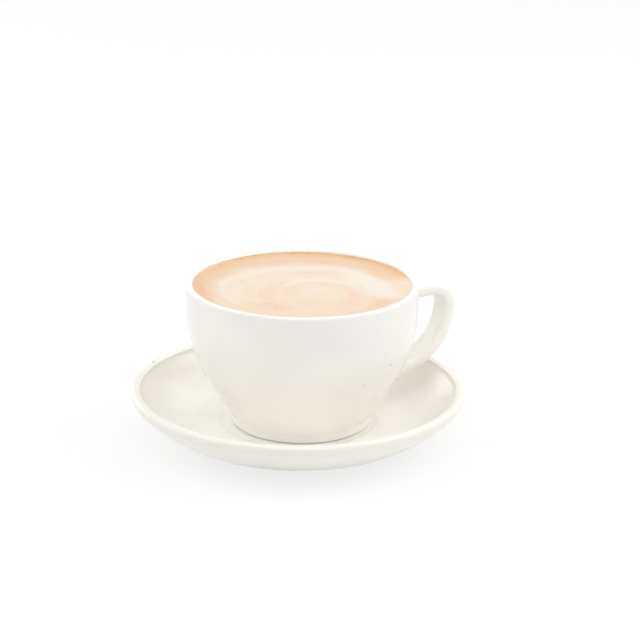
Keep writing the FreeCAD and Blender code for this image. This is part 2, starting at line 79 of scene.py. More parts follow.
def paint(red: int, green: int, blue: int) -> Colour:
    """Turns a colour as seen on a screen, 0 to 255, into the linear one that shaders take.

    Args:
        red: Red, 0 to 255.
        green: Green, 0 to 255.
        blue: Blue, 0 to 255.

    Returns:
        The linear colour, with full alpha.
    """
    linear = []
    for value in (red, green, blue):
        share = value / 255
        linear.append(share / 12.92 if share <= 0.04045 else ((share + 0.055) / 1.055) ** 2.4)
    return (linear[0], linear[1], linear[2], 1.0)


def smooth(low: float, high: float, value: np.ndarray) -> np.ndarray:
    """Eases from 0 below low to 1 above high.

    Args:
        low: Where the step starts.
        high: Where the step ends.
        value: The values to ease.

    Returns:
        A share from 0 to 1 for each value.
    """
    share = np.clip((value - low) / (high - low), 0, 1)
    return share * share * (3 - 2 * share)


class Part(Enum):
    """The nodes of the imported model."""

    SAUCER = "saucer"
    CUP = "cup"
    LATTE = "latte"


class Slot(Enum):
    """The material slots that the log names for each piece."""

    SAUCER_GLAZE = "saucer_glaze"
    CUP_GLAZE = "cup_glaze"
    DRINK = "drink"


# ---------------------------------------------------------------- outlines and meshes


def measured(line: np.ndarray) -> np.ndarray:
    """Returns how far along a flat line each of its points lies."""
    return np.concatenate(([0], np.cumsum(np.hypot(*np.diff(line, axis=0).T))))


def picked(line: np.ndarray, measure: np.ndarray, places: np.ndarray | float) -> np.ndarray:
    """Picks points on a flat line.

    Args:
        line: The line's own points.
        measure: The place of each of them.
        places: The places to pick.

    Returns:
        The points at those places.
    """
    return np.stack([np.interp(places, measure, line[:, axis]) for axis in (0, 1)], axis=-1)


def rounded(start: np.ndarray, corner: np.ndarray, end: np.ndarray, turn: float,
            share: float) -> np.ndarray:
    """Finds a point of the arc that rounds a corner.

    Args:
        start: Where the arc starts.
        corner: The corner.
        end: Where the arc ends, as far from the corner as its start.
        turn: How far the line turns at the corner, in radians.
        share: How far round the arc the point lies, 0 to 1.

    Returns:
        The point.
    """
    weight = math.cos(turn / 2)
    parts = ((1 - share) ** 2, 2 * weight * share * (1 - share), share**2)
    return (parts[0] * start + parts[1] * corner + parts[2] * end) / sum(parts)


@dataclass
class Outline:
    """Half of a turned piece's cut face, from the axis outwards and back to the axis.

    Attributes:
        softness: How far the glaze rounds every edge.
        corners: Radius, height and rounding of each corner.
    """

    softness: float = 0.35 * MM
    corners: list[tuple[float, float, float]] = field(default_factory=list)

    GRAIN = 0.2 * MM
    ARC_STEP = math.radians(2)
    ROUNDING_STEPS = 24
    TURN_LIMIT = math.radians(7)
    RUN_LIMIT = 3.5 * MM

    def corner(self, radius: float, height: float, rounding: float = 0.0) -> None:
        """Adds a corner, rounded with an arc where rounding is above 0."""
        self.corners.append((radius, height, rounding))

    def arc(self, start: tuple[float, float], end: tuple[float, float], leave: float,
            rounding: float = 0.0) -> None:
        """Adds an arc, up to but not including its end.

        Args:
            start: Radius and height where the arc starts.
            end: Radius and height where it ends.
            leave: The arc's slope where it starts, in radians from level.
            rounding: The rounding of the corner where it starts.
        """
        chord = np.subtract(end, start)
        half_turn = math.remainder(math.atan2(chord[1], chord[0]) - leave, 2 * math.pi)
        radius = np.hypot(*chord) / 2 / math.sin(half_turn)
        steps = max(4, round(abs(2 * half_turn) / self.ARC_STEP))
        for step in range(steps):
            swept = 2 * half_turn * step / steps
            across = radius * (math.sin(leave + swept) - math.sin(leave))
            up = radius * (math.cos(leave) - math.cos(leave + swept))
            self.corner(start[0] + across, start[1] + up, 0.0 if step else rounding)

    def curve(self) -> np.ndarray:
        """Works out the finished outline.

        Returns:
            Radius and height of each point, close together where the outline bends.
        """
        dense = self._evenly(self._rounded())
        soft = self._softened(dense)
        steps = np.diff(soft, axis=0)
        run = np.hypot(steps[:, 0], steps[:, 1])
        heading = np.unwrap(np.arctan2(steps[:, 1], steps[:, 0]))
        turn = np.abs(np.diff(heading, append=heading[-1]))
        measure = np.concatenate(([0], np.cumsum(turn / self.TURN_LIMIT + run / self.RUN_LIMIT)))
        picks = np.linspace(0, measure[-1], math.ceil(measure[-1]) + 1)
        curve = picked(soft, measure, picks)
        curve[[0, -1], 0] = 0
        return curve

    def _rounded(self) -> np.ndarray:
        """Replaces each rounded corner with an arc.

        Returns:
            All the points in order.
        """
        points = np.array([(radius, height) for radius, height, _ in self.corners])
        runs = np.hypot(*np.diff(points, axis=0).T)
        along = measured(points)
        kept = {along[i]: points[i] for i in range(len(points)) if not self.corners[i][2]}
        for index, (_, _, rounding) in enumerate(self.corners):
            if not rounding:
                continue
            arrive = (points[index] - points[index - 1]) / runs[index - 1]
            depart = (points[index + 1] - points[index]) / runs[index]
            turn = math.acos(np.clip(arrive @ depart, -1, 1))
            reach = rounding * math.tan(turn / 2)
            first, last = along[index] - reach, along[index] + reach
            start, end = picked(points, along, np.array([first, last]))
            kept = {place: point for place, point in kept.items() if not first < place < last}
            for share in np.linspace(0, 1, self.ROUNDING_STEPS + 1):
                place = first + share * (last - first)
                kept[place] = rounded(start, points[index], end, turn, share)
        return np.array([kept[place] for place in sorted(kept)])

    def _evenly(self, points: np.ndarray) -> np.ndarray:
        """Returns the same outline in even short steps."""
        along = measured(points)
        return picked(points, along, np.linspace(0, along[-1], round(along[-1] / self.GRAIN)))

    def _softened(self, points: np.ndarray) -> np.ndarray:
        """Softens every edge, and mirrors the ends at the axis so that they stay level.

        Args:
            points: The outline in even short steps.

        Returns:
            The softened outline.
        """
        spread = self.softness / self.GRAIN
        reach = math.ceil(3 * spread)
        kernel = np.exp(-0.5 * (np.arange(-reach, reach + 1) / spread) ** 2)
        mirror = np.array([-1, 1])
        head = points[reach:0:-1] * mirror
        tail = points[-2 : -reach - 2 : -1] * mirror
        padded = np.concatenate((head, points, tail))
        soft = [np.convolve(padded[:, axis], kernel / kernel.sum(), "valid") for axis in (0, 1)]
        return np.stack(soft, axis=1)


def solid(name: str, points: np.ndarray, faces: list[tuple[int, ...]]) -> bpy.types.Object:
    """Makes a smooth-shaded mesh object with its faces turned outwards.

    Args:
        name: The piece's name.
        points: One row of x, y, z for each vertex.
        faces: The vertex numbers of each face.

    Returns:
        The new object, in the scene.
    """
    mesh = bpy.data.meshes.new(name)
    mesh.from_pydata(points.tolist(), [], faces)
    mesh.polygons.foreach_set("use_smooth", [True] * len(mesh.polygons))
    mesh.update()
    piece = bpy.data.objects.new(name, mesh)
    bpy.context.scene.collection.objects.link(piece)
    return piece


def even_highlights(piece: bpy.types.Object) -> None:
    """Lets large faces steer the shading, so that highlights run smoothly past small ones."""
    modifier = piece.modifiers.new("even highlights", "WEIGHTED_NORMAL")
    modifier.keep_sharp = False


def tube(rings: np.ndarray, start: np.ndarray, end: np.ndarray) -> Shell:
    """Skins a row of closed rings and closes both ends.

    Args:
        rings: The points of each ring, as many in each.
        start: The point that closes the first ring.
        end: The point that closes the last one.

    Returns:
        The points, and the faces as vertex numbers.
    """
    count = rings.shape[1]
    points = np.concatenate((rings.reshape(-1, 3), [start, end]))
    start_point, end_point = len(points) - 2, len(points) - 1
    last = start_point - count
    faces = []
    for step in range(count):
        following = (step + 1) % count
        faces.append((start_point, following, step))
        faces.append((end_point, last + step, last + following))
        for here in range(0, last, count):
            beyond = here + count
            faces.append((here + step, here + following, beyond + following, beyond + step))
    return points, faces


def turned(curve: np.ndarray, segments: int) -> Shell:
    """Turns an outline once round the Z axis into a closed surface.

    Args:
        curve: Radius and height of each point; the first and the last lie on the axis.
        segments: How many steps go round.

    Returns:
        The points, and the faces as vertex numbers.
    """
    angles = np.linspace(0, 2 * math.pi, segments, endpoint=False)
    rings = curve[1:-1]
    x = rings[:, 0, None] * np.cos(angles)
    y = rings[:, 0, None] * np.sin(angles)
    z = np.repeat(rings[:, 1, None], segments, axis=1)
    start, end = (np.array([0, 0, height]) for height in curve[[0, -1], 1])
    return tube(np.stack([x, y, z], axis=2), start, end)


def join(shells: list[Shell]) -> Shell:
    """Puts several surfaces into one list of points and faces.

    Args:
        shells: The points and faces of each surface.

    Returns:
        The points and faces of all of them.
    """
    faces: list[tuple[int, ...]] = []
    count = 0
    for shell_points, shell_faces in shells:
        faces += [tuple(number + count for number in face) for face in shell_faces]
        count += len(shell_points)
    return np.concatenate([points for points, _ in shells]), faces


# ---------------------------------------------------------------- finishes


class NodeSheet:
    """The node tree of a material or a world, with short ways to add and link nodes."""

    def __init__(self, owner: bpy.types.Material | bpy.types.World) -> None:
        """Starts with an empty tree.

        Args:
            owner: The material or world.
        """
        owner.use_nodes = True
        self.owner = owner
        self.tree = owner.node_tree
        self.tree.nodes.clear()

    def add(self, kind: str, inputs: dict | None = None, **settings: str) -> bpy.types.Node:
        """Adds a node.

        Args:
            kind: The node's type, without the ShaderNode in front.
            inputs: What goes into each input: a node's output, or a value.
            **settings: The node's own settings.

        Returns:
            The new node.
        """
        node = self.tree.nodes.new("ShaderNode" + kind)
        for name, value in settings.items():
            setattr(node, name, value)
        for name, value in (inputs or {}).items():
            if isinstance(value, bpy.types.NodeSocket):
                self.tree.links.new(value, node.inputs[name])
            else:
                node.inputs[name].default_value = value
        return node

    def place(self) -> bpy.types.NodeSocket:
        """Returns the place on the piece, in metres."""
        return self.add("TexCoord").outputs["Object"]

    def noise(self, place: bpy.types.NodeSocket, scale: float,
              detail: float = 2.0) -> bpy.types.NodeSocket:
        """Returns a noise value, 0 to 1, with scale bumps to the metre."""
        inputs = {"Vector": place, "Scale": scale, "Detail": detail}
        return self.add("TexNoise", inputs).outputs["Fac"]

    def ramp(self, value: bpy.types.NodeSocket, low: float, high: float,
             start: float = 0.0, end: float = 1.0) -> bpy.types.NodeSocket:
        """Eases a value.

        Args:
            value: The value.
            low: Where the step starts.
            high: Where it ends.
            start: The result up to low.
            end: The result from high on.

        Returns:
            The eased value.
        """
        inputs = {"Value": value, "From Min": low, "From Max": high, "To Min": start, "To Max": end}
        node = self.add("MapRange", inputs, interpolation_type="SMOOTHSTEP")
        return node.outputs["Result"]

    def math(self, operation: str, first: Input, second: Input) -> bpy.types.NodeSocket:
        """Returns the result of a sum on two values."""
        return self.add("Math", {0: first, 1: second}, operation=operation).outputs[0]

    def blend(self, share: Input, first: Input, second: Input) -> bpy.types.NodeSocket:
        """Blends two colours.

        Args:
            share: How much of the second colour shows, 0 to 1.
            first: The first colour.
            second: The second colour.

        Returns:
            The blended colour.
        """
        node = self.add("Mix", data_type="RGBA")
        for index, value in ((0, share), (6, first), (7, second)):
            if isinstance(value, bpy.types.NodeSocket):
                self.tree.links.new(value, node.inputs[index])
            else:
                node.inputs[index].default_value = value
        return node.outputs[2]

    def relief(self, height: bpy.types.NodeSocket, depth: float,
               over: bpy.types.NodeSocket | None = None) -> bpy.types.NodeSocket:
        """Makes a surface bumpy.

        Args:
            height: The height at each place, 0 to 1.
            depth: How many metres a height of 1 stands for.
            over: The bumpy surface that it lies on, if there is one.

        Returns:
            The bumpy normal.
        """
        inputs = {"Height": height, "Strength": 1.0, "Distance": depth}
        if over is not None:
            inputs["Normal"] = over
        return self.add("Bump", inputs).outputs["Normal"]

    def seen(self) -> bpy.types.NodeSocket:
        """Tells what the eye sees from what only lights other things.

        Returns:
            1 for what is seen straight, in a reflection or through something, else 0.
        """
        path = self.add("LightPath")
        either = self.math("MAXIMUM", path.outputs["Is Camera Ray"], path.outputs["Is Glossy Ray"])
        return self.math("MAXIMUM", either, path.outputs["Is Transmission Ray"])

    def either(self, share: bpy.types.NodeSocket, first: bpy.types.Node,
               second: bpy.types.Node) -> bpy.types.Node:
        """Returns a shader that goes from first to second as share goes from 0 to 1."""
        return self.add("MixShader", {0: share, 1: first.outputs[0], 2: second.outputs[0]})

    def finish(self, shader: bpy.types.Node, output: str = "OutputMaterial") -> bpy.types.ID:
        """Links the shader to the output and returns the material or world."""
        self.add(output, {"Surface": shader.outputs[0]})
        return self.owner


@dataclass(frozen=True)
class Glaze:
    """Glossy warm white glaze over stoneware.

    Attributes:
        name: The material's name.
        thin_shade_from: Height above which the glaze has run thin and painted shade darkens it, or
            distance from the axis.
        pool_light_to: Height below which the glaze lies thick and painted light pales it, or
            distance from the axis.
        thin: Colour where the glaze is thin, darker as painted shade where less light falls.
        thick: Colour where the glaze lies thick, paler as painted bounced light.
        cream: Colour of its warm patches.
        pit_colour: Colour of its pits.
        gloss: Roughness of the smoothest glaze.
        haze: Roughness of the dullest glaze.
        waves: Its slow waves: bumps to the metre, and how deep they are.
        peel: Its fine orange peel: bumps to the metre, and how deep they are.
        pits: Places of small dark pits, each with its radius.
        dished: Whether it ran, and the painted light lies, towards the axis as in a dish, rather
            than down a side.
    """

    name: str
    thin_shade_from: float
    pool_light_to: float
    # thin and thick are also painted light: thick is paler as painted bounced light low on a side or
    # towards a dish's middle, thin darker as painted shade higher up or out towards a rim.
    thin: Colour = paint(242, 240, 236)
    thick: Colour = paint(248, 246, 240)
    cream: Colour = paint(248, 245, 238)
    pit_colour: Colour = paint(120, 98, 74)
    gloss: float = 0.18
    haze: float = 0.27
    waves: tuple[float, float] = (90.0, 0.06 * MM)
    peel: tuple[float, float] = (420.0, 0.012 * MM)
    pits: tuple[tuple[tuple[float, float, float], float], ...] = ()
    dished: bool = False

    def build(self) -> bpy.types.Material:
        """Makes the material.

        Returns:
            The material.
        """
        sheet = NodeSheet(bpy.data.materials.new(self.name))
        place = sheet.place()
        drift = sheet.ramp(sheet.noise(place, 22.0), 0.3, 0.7, -10 * MM, 10 * MM)
        if self.dished:
            level = sheet.add("VectorMath", {0: place, 1: (1.0, 1.0, 0.0)}, operation="MULTIPLY")
            away = sheet.add("VectorMath", {0: level.outputs[0]}, operation="LENGTH")
            run = away.outputs["Value"]
        else:
            run = sheet.add("SeparateXYZ", {0: place}).outputs["Z"]
        # Painted light and pooling in one mask: the thick colour low down or towards a dish's middle
        # is also painted bounced light, and the thin colour above or beyond it is painted shade.
        pooled_and_lit = sheet.ramp(sheet.math("ADD", run, drift), self.pool_light_to, self.thin_shade_from, 1.0, 0.0)
        colour = sheet.blend(pooled_and_lit, self.thin, self.thick)
        clouds = sheet.ramp(sheet.noise(place, 40.0, 4.0), 0.4, 0.7, 0.0, 0.6)
        colour = sheet.blend(clouds, colour, self.cream)
        for spot, radius in self.pits:
            away = sheet.add("VectorMath", {0: place, 1: spot}, operation="DISTANCE")
            ragged = sheet.math("MULTIPLY", sheet.noise(place, 2200.0), radius)
            distance = sheet.math("ADD", away.outputs["Value"], ragged)
            inside = sheet.ramp(distance, radius * 0.9, radius * 1.5, 1.0, 0.0)
            colour = sheet.blend(inside, colour, self.pit_colour)
        worn = sheet.ramp(sheet.noise(place, 60.0, 5.0), 0.35, 0.7, self.gloss, self.haze)
        waves = sheet.relief(sheet.noise(place, self.waves[0], 1.0), self.waves[1])
        peel = sheet.relief(sheet.noise(place, self.peel[0]), self.peel[1], waves)
        inputs = {"Base Color": colour, "Roughness": worn, "Normal": peel, "IOR": 1.5}
        return sheet.finish(sheet.add("BsdfPrincipled", inputs))


@dataclass(frozen=True)
class Bisque:
    """Bare fired clay, where a foot ring was wiped clean of glaze.

    Attributes:
        name: The material's name.
        pale: Colour of clean clay.
        dark: Colour of its stains and coarse grains.
    """

    name: str = "bare stoneware"
    pale: Colour = paint(226, 216, 197)
    dark: Colour = paint(205, 190, 166)

    def build(self) -> bpy.types.Material:
        """Makes the material.

        Returns:
            The material.
        """
        sheet = NodeSheet(bpy.data.materials.new(self.name))
        place = sheet.place()
        grains = sheet.noise(place, 1500.0, 3.0)
        stain = sheet.ramp(sheet.noise(place, 60.0, 3.0), 0.35, 0.7)
        colour = sheet.blend(stain, self.pale, self.dark)
        colour = sheet.blend(sheet.ramp(grains, 0.55, 0.75, 0.0, 0.5), colour, self.dark)
        inputs = {"Base Color": colour, "Roughness": 0.85, "Normal": sheet.relief(grains, 0.08 * MM)}
        return sheet.finish(sheet.add("BsdfPrincipled", inputs))


@dataclass(frozen=True)
class Tea:
    """Milky spiced tea with thin foam on it.

    The mesh carries three values: tone goes from bare tea to the palest foam, warmth adds a
    pinker brown, and stream is a place along and across the swirl for the fine streaks.

    Attributes:
        name: The material's name.
        shades: The colour at each tone.
        warm: The pinker brown.
        froth: Its fine bubbles: how many to the metre, and how high they stand.
        streak_height: How high its streaks stand.
    """

    name: str = "milky tea"
    shades: tuple[tuple[float, Colour], ...] = (
        (0.0, paint(219, 176, 124)),
        (0.21, paint(225, 188, 145)),
        (0.53, paint(227, 202, 174)),
        (0.65, paint(227, 208, 184)),
        (0.77, paint(229, 214, 195)),
        (0.91, paint(230, 221, 206)),
    )
    warm: Colour = paint(226, 196, 172)
    froth: tuple[float, float] = (1400.0, 0.05 * MM)
    streak_height: float = 0.07 * MM

    def build(self) -> bpy.types.Material:
        """Makes the material.

        Returns:
            The material.
        """
        sheet = NodeSheet(bpy.data.materials.new(self.name))
        place = sheet.place()
        tone = sheet.add("Attribute", attribute_name="tone").outputs["Fac"]
        warmth = sheet.add("Attribute", attribute_name="warmth").outputs["Fac"]
        stream = sheet.add("Attribute", attribute_name="stream").outputs["Vector"]
        streaks = sheet.noise(stream, 1.0, 5.0)
        freckles = sheet.noise(place, 900.0, 3.0)
        shift = sheet.ramp(streaks, 0.25, 0.75, -0.07, 0.07)
        shift = sheet.math("ADD", shift, sheet.ramp(freckles, 0.3, 0.7, -0.02, 0.02))
        shade = sheet.math("ADD", tone, shift)
        ramp = sheet.add("ValToRGB", {"Fac": shade})
        stops = ramp.color_ramp.elements
        stops.remove(stops[1])
        stops[0].position, stops[0].color = self.shades[0]
        for position, colour in self.shades[1:]:
            stops.new(position).color = colour
        colour = sheet.blend(warmth, ramp.outputs["Color"], self.warm)
        many, high = self.froth
        cells = sheet.add("TexVoronoi", {"Vector": place, "Scale": many}, feature="SMOOTH_F1")
        foamy = sheet.ramp(shade, 0.25, 0.7)
        froth = sheet.relief(sheet.math("MULTIPLY", cells.outputs["Distance"], foamy), high)
        surface = sheet.relief(streaks, self.streak_height, froth)
        dull = sheet.ramp(shade, 0.1, 0.75, 0.16, 0.42)
        inputs = {"Base Color": colour, "Roughness": dull, "Normal": surface, "IOR": 1.34,
                  "Subsurface Weight": 0.15, "Subsurface Scale": 1.5 * MM,
                  "Subsurface Radius": (1.0, 0.65, 0.4)}
        return sheet.finish(sheet.add("BsdfPrincipled", inputs))


@dataclass(frozen=True)
class BubbleSkin:
    """The thin wet skin of a bubble.

    Attributes:
        name: The material's name.
        pale: Its palest colour.
        tan: Its darkest colour.
    """

    name: str = "bubble skin"
    pale: Colour = paint(236, 214, 184)
    tan: Colour = paint(222, 180, 130)

    def build(self) -> bpy.types.Material:
        """Makes the material.

        Returns:
            The material.
        """
        sheet = NodeSheet(bpy.data.materials.new(self.name))
        place = sheet.place()
        colour = sheet.blend(sheet.ramp(sheet.noise(place, 500.0), 0.35, 0.65), self.pale, self.tan)
        gloss = sheet.ramp(sheet.noise(place, 900.0), 0.3, 0.7, 0.04, 0.12)
        inputs = {"Base Color": colour, "Roughness": gloss, "IOR": 1.33}
        return sheet.finish(sheet.add("BsdfPrincipled", inputs))


@dataclass(frozen=True)
class Paper:
    """The white studio floor. It keeps soft shadows and reads as plain white where it is lit.

    Attributes:
        name: The material's name.
        white: Colour of the paper.
        fibre: Colour of its darkest fibres.
        lift: Share of plain white that lifts it to the backdrop's.
    """

    name: str = "white studio paper"
    white: Colour = (0.93, 0.93, 0.93, 1.0)
    fibre: Colour = (0.9, 0.9, 0.89, 1.0)
    lift: float = 0.78

    def build(self) -> bpy.types.Material:
        """Makes the material.

        Returns:
            The material.
        """
        sheet = NodeSheet(bpy.data.materials.new(self.name))
        place = sheet.place()
        fibres = sheet.noise(place, 700.0, 3.0)
        colour = sheet.blend(sheet.ramp(fibres, 0.3, 0.7, 0.0, 0.3), self.white, self.fibre)
        lit = sheet.add("BsdfDiffuse", {"Color": colour, "Normal": sheet.relief(fibres, 0.02 * MM)})
        glow = sheet.add("Emission", {"Color": WHITE, "Strength": 1.0})
        share = sheet.math("MULTIPLY", sheet.seen(), self.lift)
        return sheet.finish(sheet.either(share, lit, glow))


# ---------------------------------------------------------------- stoneware


@dataclass(frozen=True)
class Kiln:
    """How far the firing pulled a piece out of true.

    Attributes:
        oval: How much wider it is one way than the other, at its edge.
        sway: How far its edge rises and dips.
        still: The radius of the foot ring, which stayed true.
        reach: The radius of its edge.
        turn: Where round the piece the widest place lies, in degrees.
    """

    oval: float
    sway: float
    still: float
    reach: float
    turn: float

    def pull(self, points: np.ndarray) -> np.ndarray:
        """Moves points as the firing moved them.

        Args:
            points: The true points, one row of x, y, z each.

        Returns:
            The moved points.
        """
        angle = np.arctan2(points[:, 1], points[:, 0])
        radius = np.hypot(points[:, 0], points[:, 1])
        share = np.clip((radius - self.still) / (self.reach - self.still), 0, 1) ** 2
        widen = self.oval * share * np.cos(2 * (angle - math.radians(self.turn)))
        lift = self.sway * share**2 * np.cos(2 * angle + math.radians(3 * self.turn))
        grow = 1 + widen / np.maximum(radius, MM)
        return np.stack([points[:, 0] * grow, points[:, 1] * grow, points[:, 2] + lift], axis=1)


@dataclass
class Saucer:
    """The deep round saucer with a well for the cup.

    Attributes:
        radius: Centre to outer edge.
        height: Table to top of rim.
        rest: Height of the well's floor.
        well: Radius of the well.
        well_depth: How far the well's floor lies under the land round it.
        well_slope: Width of the slope round the well, which the glaze has filled in.
        well_brow: Rounding of the upper edge of that slope.
        well_foot: Rounding of its lower edge.
        land: From the well's edge to where the floor starts to rise.
        lip_wall: Width of the lip.
        lip_face: Height of its upright outer face.
        lip_depth: How far it stands above the dished floor.
        lip_round: Rounding of its upper edges.
        shelf_round: Rounding of the corner under the lip.
        shoulder: Rounding where the outside turns up into the lip.
        ring_radius: Outer radius of the foot ring.
        ring_width: Its width.
        ring_step: Its height on the outside.
        ring_recess: How far the bottom inside it stands above the table.
        ring_edge: Rounding of its lower edges.
        recess_edge: Rounding of the corner inside it.
        heel_slope: Slope of the outside where it leaves the ring.
        segments: How many steps go round the mesh.
    """

    radius: float
    height: float
    rest: float
    well: float
    well_depth: float = 0.8 * MM
    well_slope: float = 2.4 * MM
    well_brow: float = 5.0 * MM
    well_foot: float = 2.0 * MM
    land: float = 8.0 * MM
    lip_wall: float = 4.0 * MM
    lip_face: float = 3.8 * MM
    lip_depth: float = 1.8 * MM
    lip_round: float = 1.62 * MM
    shelf_round: float = 4.5 * MM
    shoulder: float = 5.0 * MM
    ring_radius: float = 46.0 * MM
    ring_width: float = 4.5 * MM
    ring_step: float = 1.2 * MM
    ring_recess: float = 3.2 * MM
    ring_edge: float = 0.6 * MM
    recess_edge: float = 0.8 * MM
    heel_slope: float = math.radians(12.4)
    segments: int = 256

    def outline(self) -> Outline:
        """Draws the saucer's cut face.

        Returns:
            The outline, from under the foot ring outwards and back to the well.
        """
        outline = Outline()
        ring_inner = self.ring_radius - self.ring_width
        floor = self.rest + self.well_depth
        inner = self.radius - self.lip_wall
        outline.corner(0, self.ring_recess)
        outline.corner(ring_inner, self.ring_recess, self.recess_edge)
        outline.corner(ring_inner, 0, self.ring_edge)
        outline.corner(self.ring_radius, 0, self.ring_edge)
        heel = (self.ring_radius, self.ring_step)
        brow = (self.radius, self.height - self.lip_face)
        outline.arc(heel, brow, self.heel_slope)
        outline.corner(*brow, self.shoulder)
        outline.corner(self.radius, self.height, self.lip_round)
        outline.corner(inner, self.height, self.lip_round)
        shelf = (inner, self.height - self.lip_depth)
        land = (self.well + self.land, floor)
        half = math.atan2(shelf[1] - land[1], shelf[0] - land[0])
        outline.arc(shelf, land, math.pi + 2 * half, self.shelf_round)
        outline.corner(*land)
        outline.corner(self.well + self.well_slope, floor, self.well_brow)
        outline.corner(self.well, self.rest, self.well_foot)
        outline.corner(0, self.rest)
        return outline

    def build(self, glaze: Glaze, bisque: Bisque) -> bpy.types.Object:
        """Makes the saucer and dresses it.

        Args:
            glaze: The finish all over.
            bisque: The finish of the ring it stands on.

        Returns:
            The saucer.
        """
        kiln = Kiln(
            oval=0.12 * MM,
            sway=0.14 * MM,
            still=self.ring_radius,
            reach=self.radius,
            turn=35,
        )
        points, faces = turned(self.outline().curve(), self.segments)
        piece = solid("saucer_body", kiln.pull(points), faces)
        bare_foot(piece, glaze, bisque, WIPED)
        even_highlights(piece)
        return piece


@dataclass
class BowlSide:
    """The bowl's outer side: a straight flare from the foot, an arc, and an upright band.

    Attributes:
        foot_radius: Radius where the flare starts.
        foot_height: Height where it starts.
        rim_radius: Radius of the upright band.
        upright: Height where the band starts.
        fullness: How round the side is: 0 is a straight cone and 1 is one single arc.
    """

    foot_radius: float
    foot_height: float
    rim_radius: float
    upright: float
    fullness: float

    def __post_init__(self) -> None:
        """Works out the flare's slope and the arc."""
        rise = self.upright - self.foot_height
        run = self.rim_radius - self.foot_radius
        chord = math.atan2(rise, run)
        self.slope = chord - self.fullness * (math.pi / 2 - chord)
        along = rise * math.cos(self.slope) - run * math.sin(self.slope)
        self.radius = along / (1 - math.sin(self.slope))
        self.knee = self.foot_height + run * math.tan(self.slope)

    def radius_at(self, height: float) -> float:
        """Works out how wide the bowl is.

        Args:
            height: A height above the cup's foot.

        Returns:
            How far the side is from the cup's axis there.
        """
        drop = self.upright - height
        if drop < 0:
            return self.rim_radius
        if drop < self.radius * math.cos(self.slope):
            return self.rim_radius - self.radius + math.sqrt(self.radius**2 - drop**2)
        return self.foot_radius + (height - self.foot_height) / math.tan(self.slope)

    def outward(self, point: np.ndarray) -> np.ndarray:
        """Works out which way the side faces.

        Args:
            point: A point on the side.

        Returns:
            The direction that points straight out of the side there.
        """
        step = 0.05 * MM
        lean = (self.radius_at(point[2] + step) - self.radius_at(point[2] - step)) / (2 * step)
        around = point[:2] / np.hypot(*point[:2])
        normal = np.array([around[0], around[1], -lean])
        return normal / np.linalg.norm(normal)


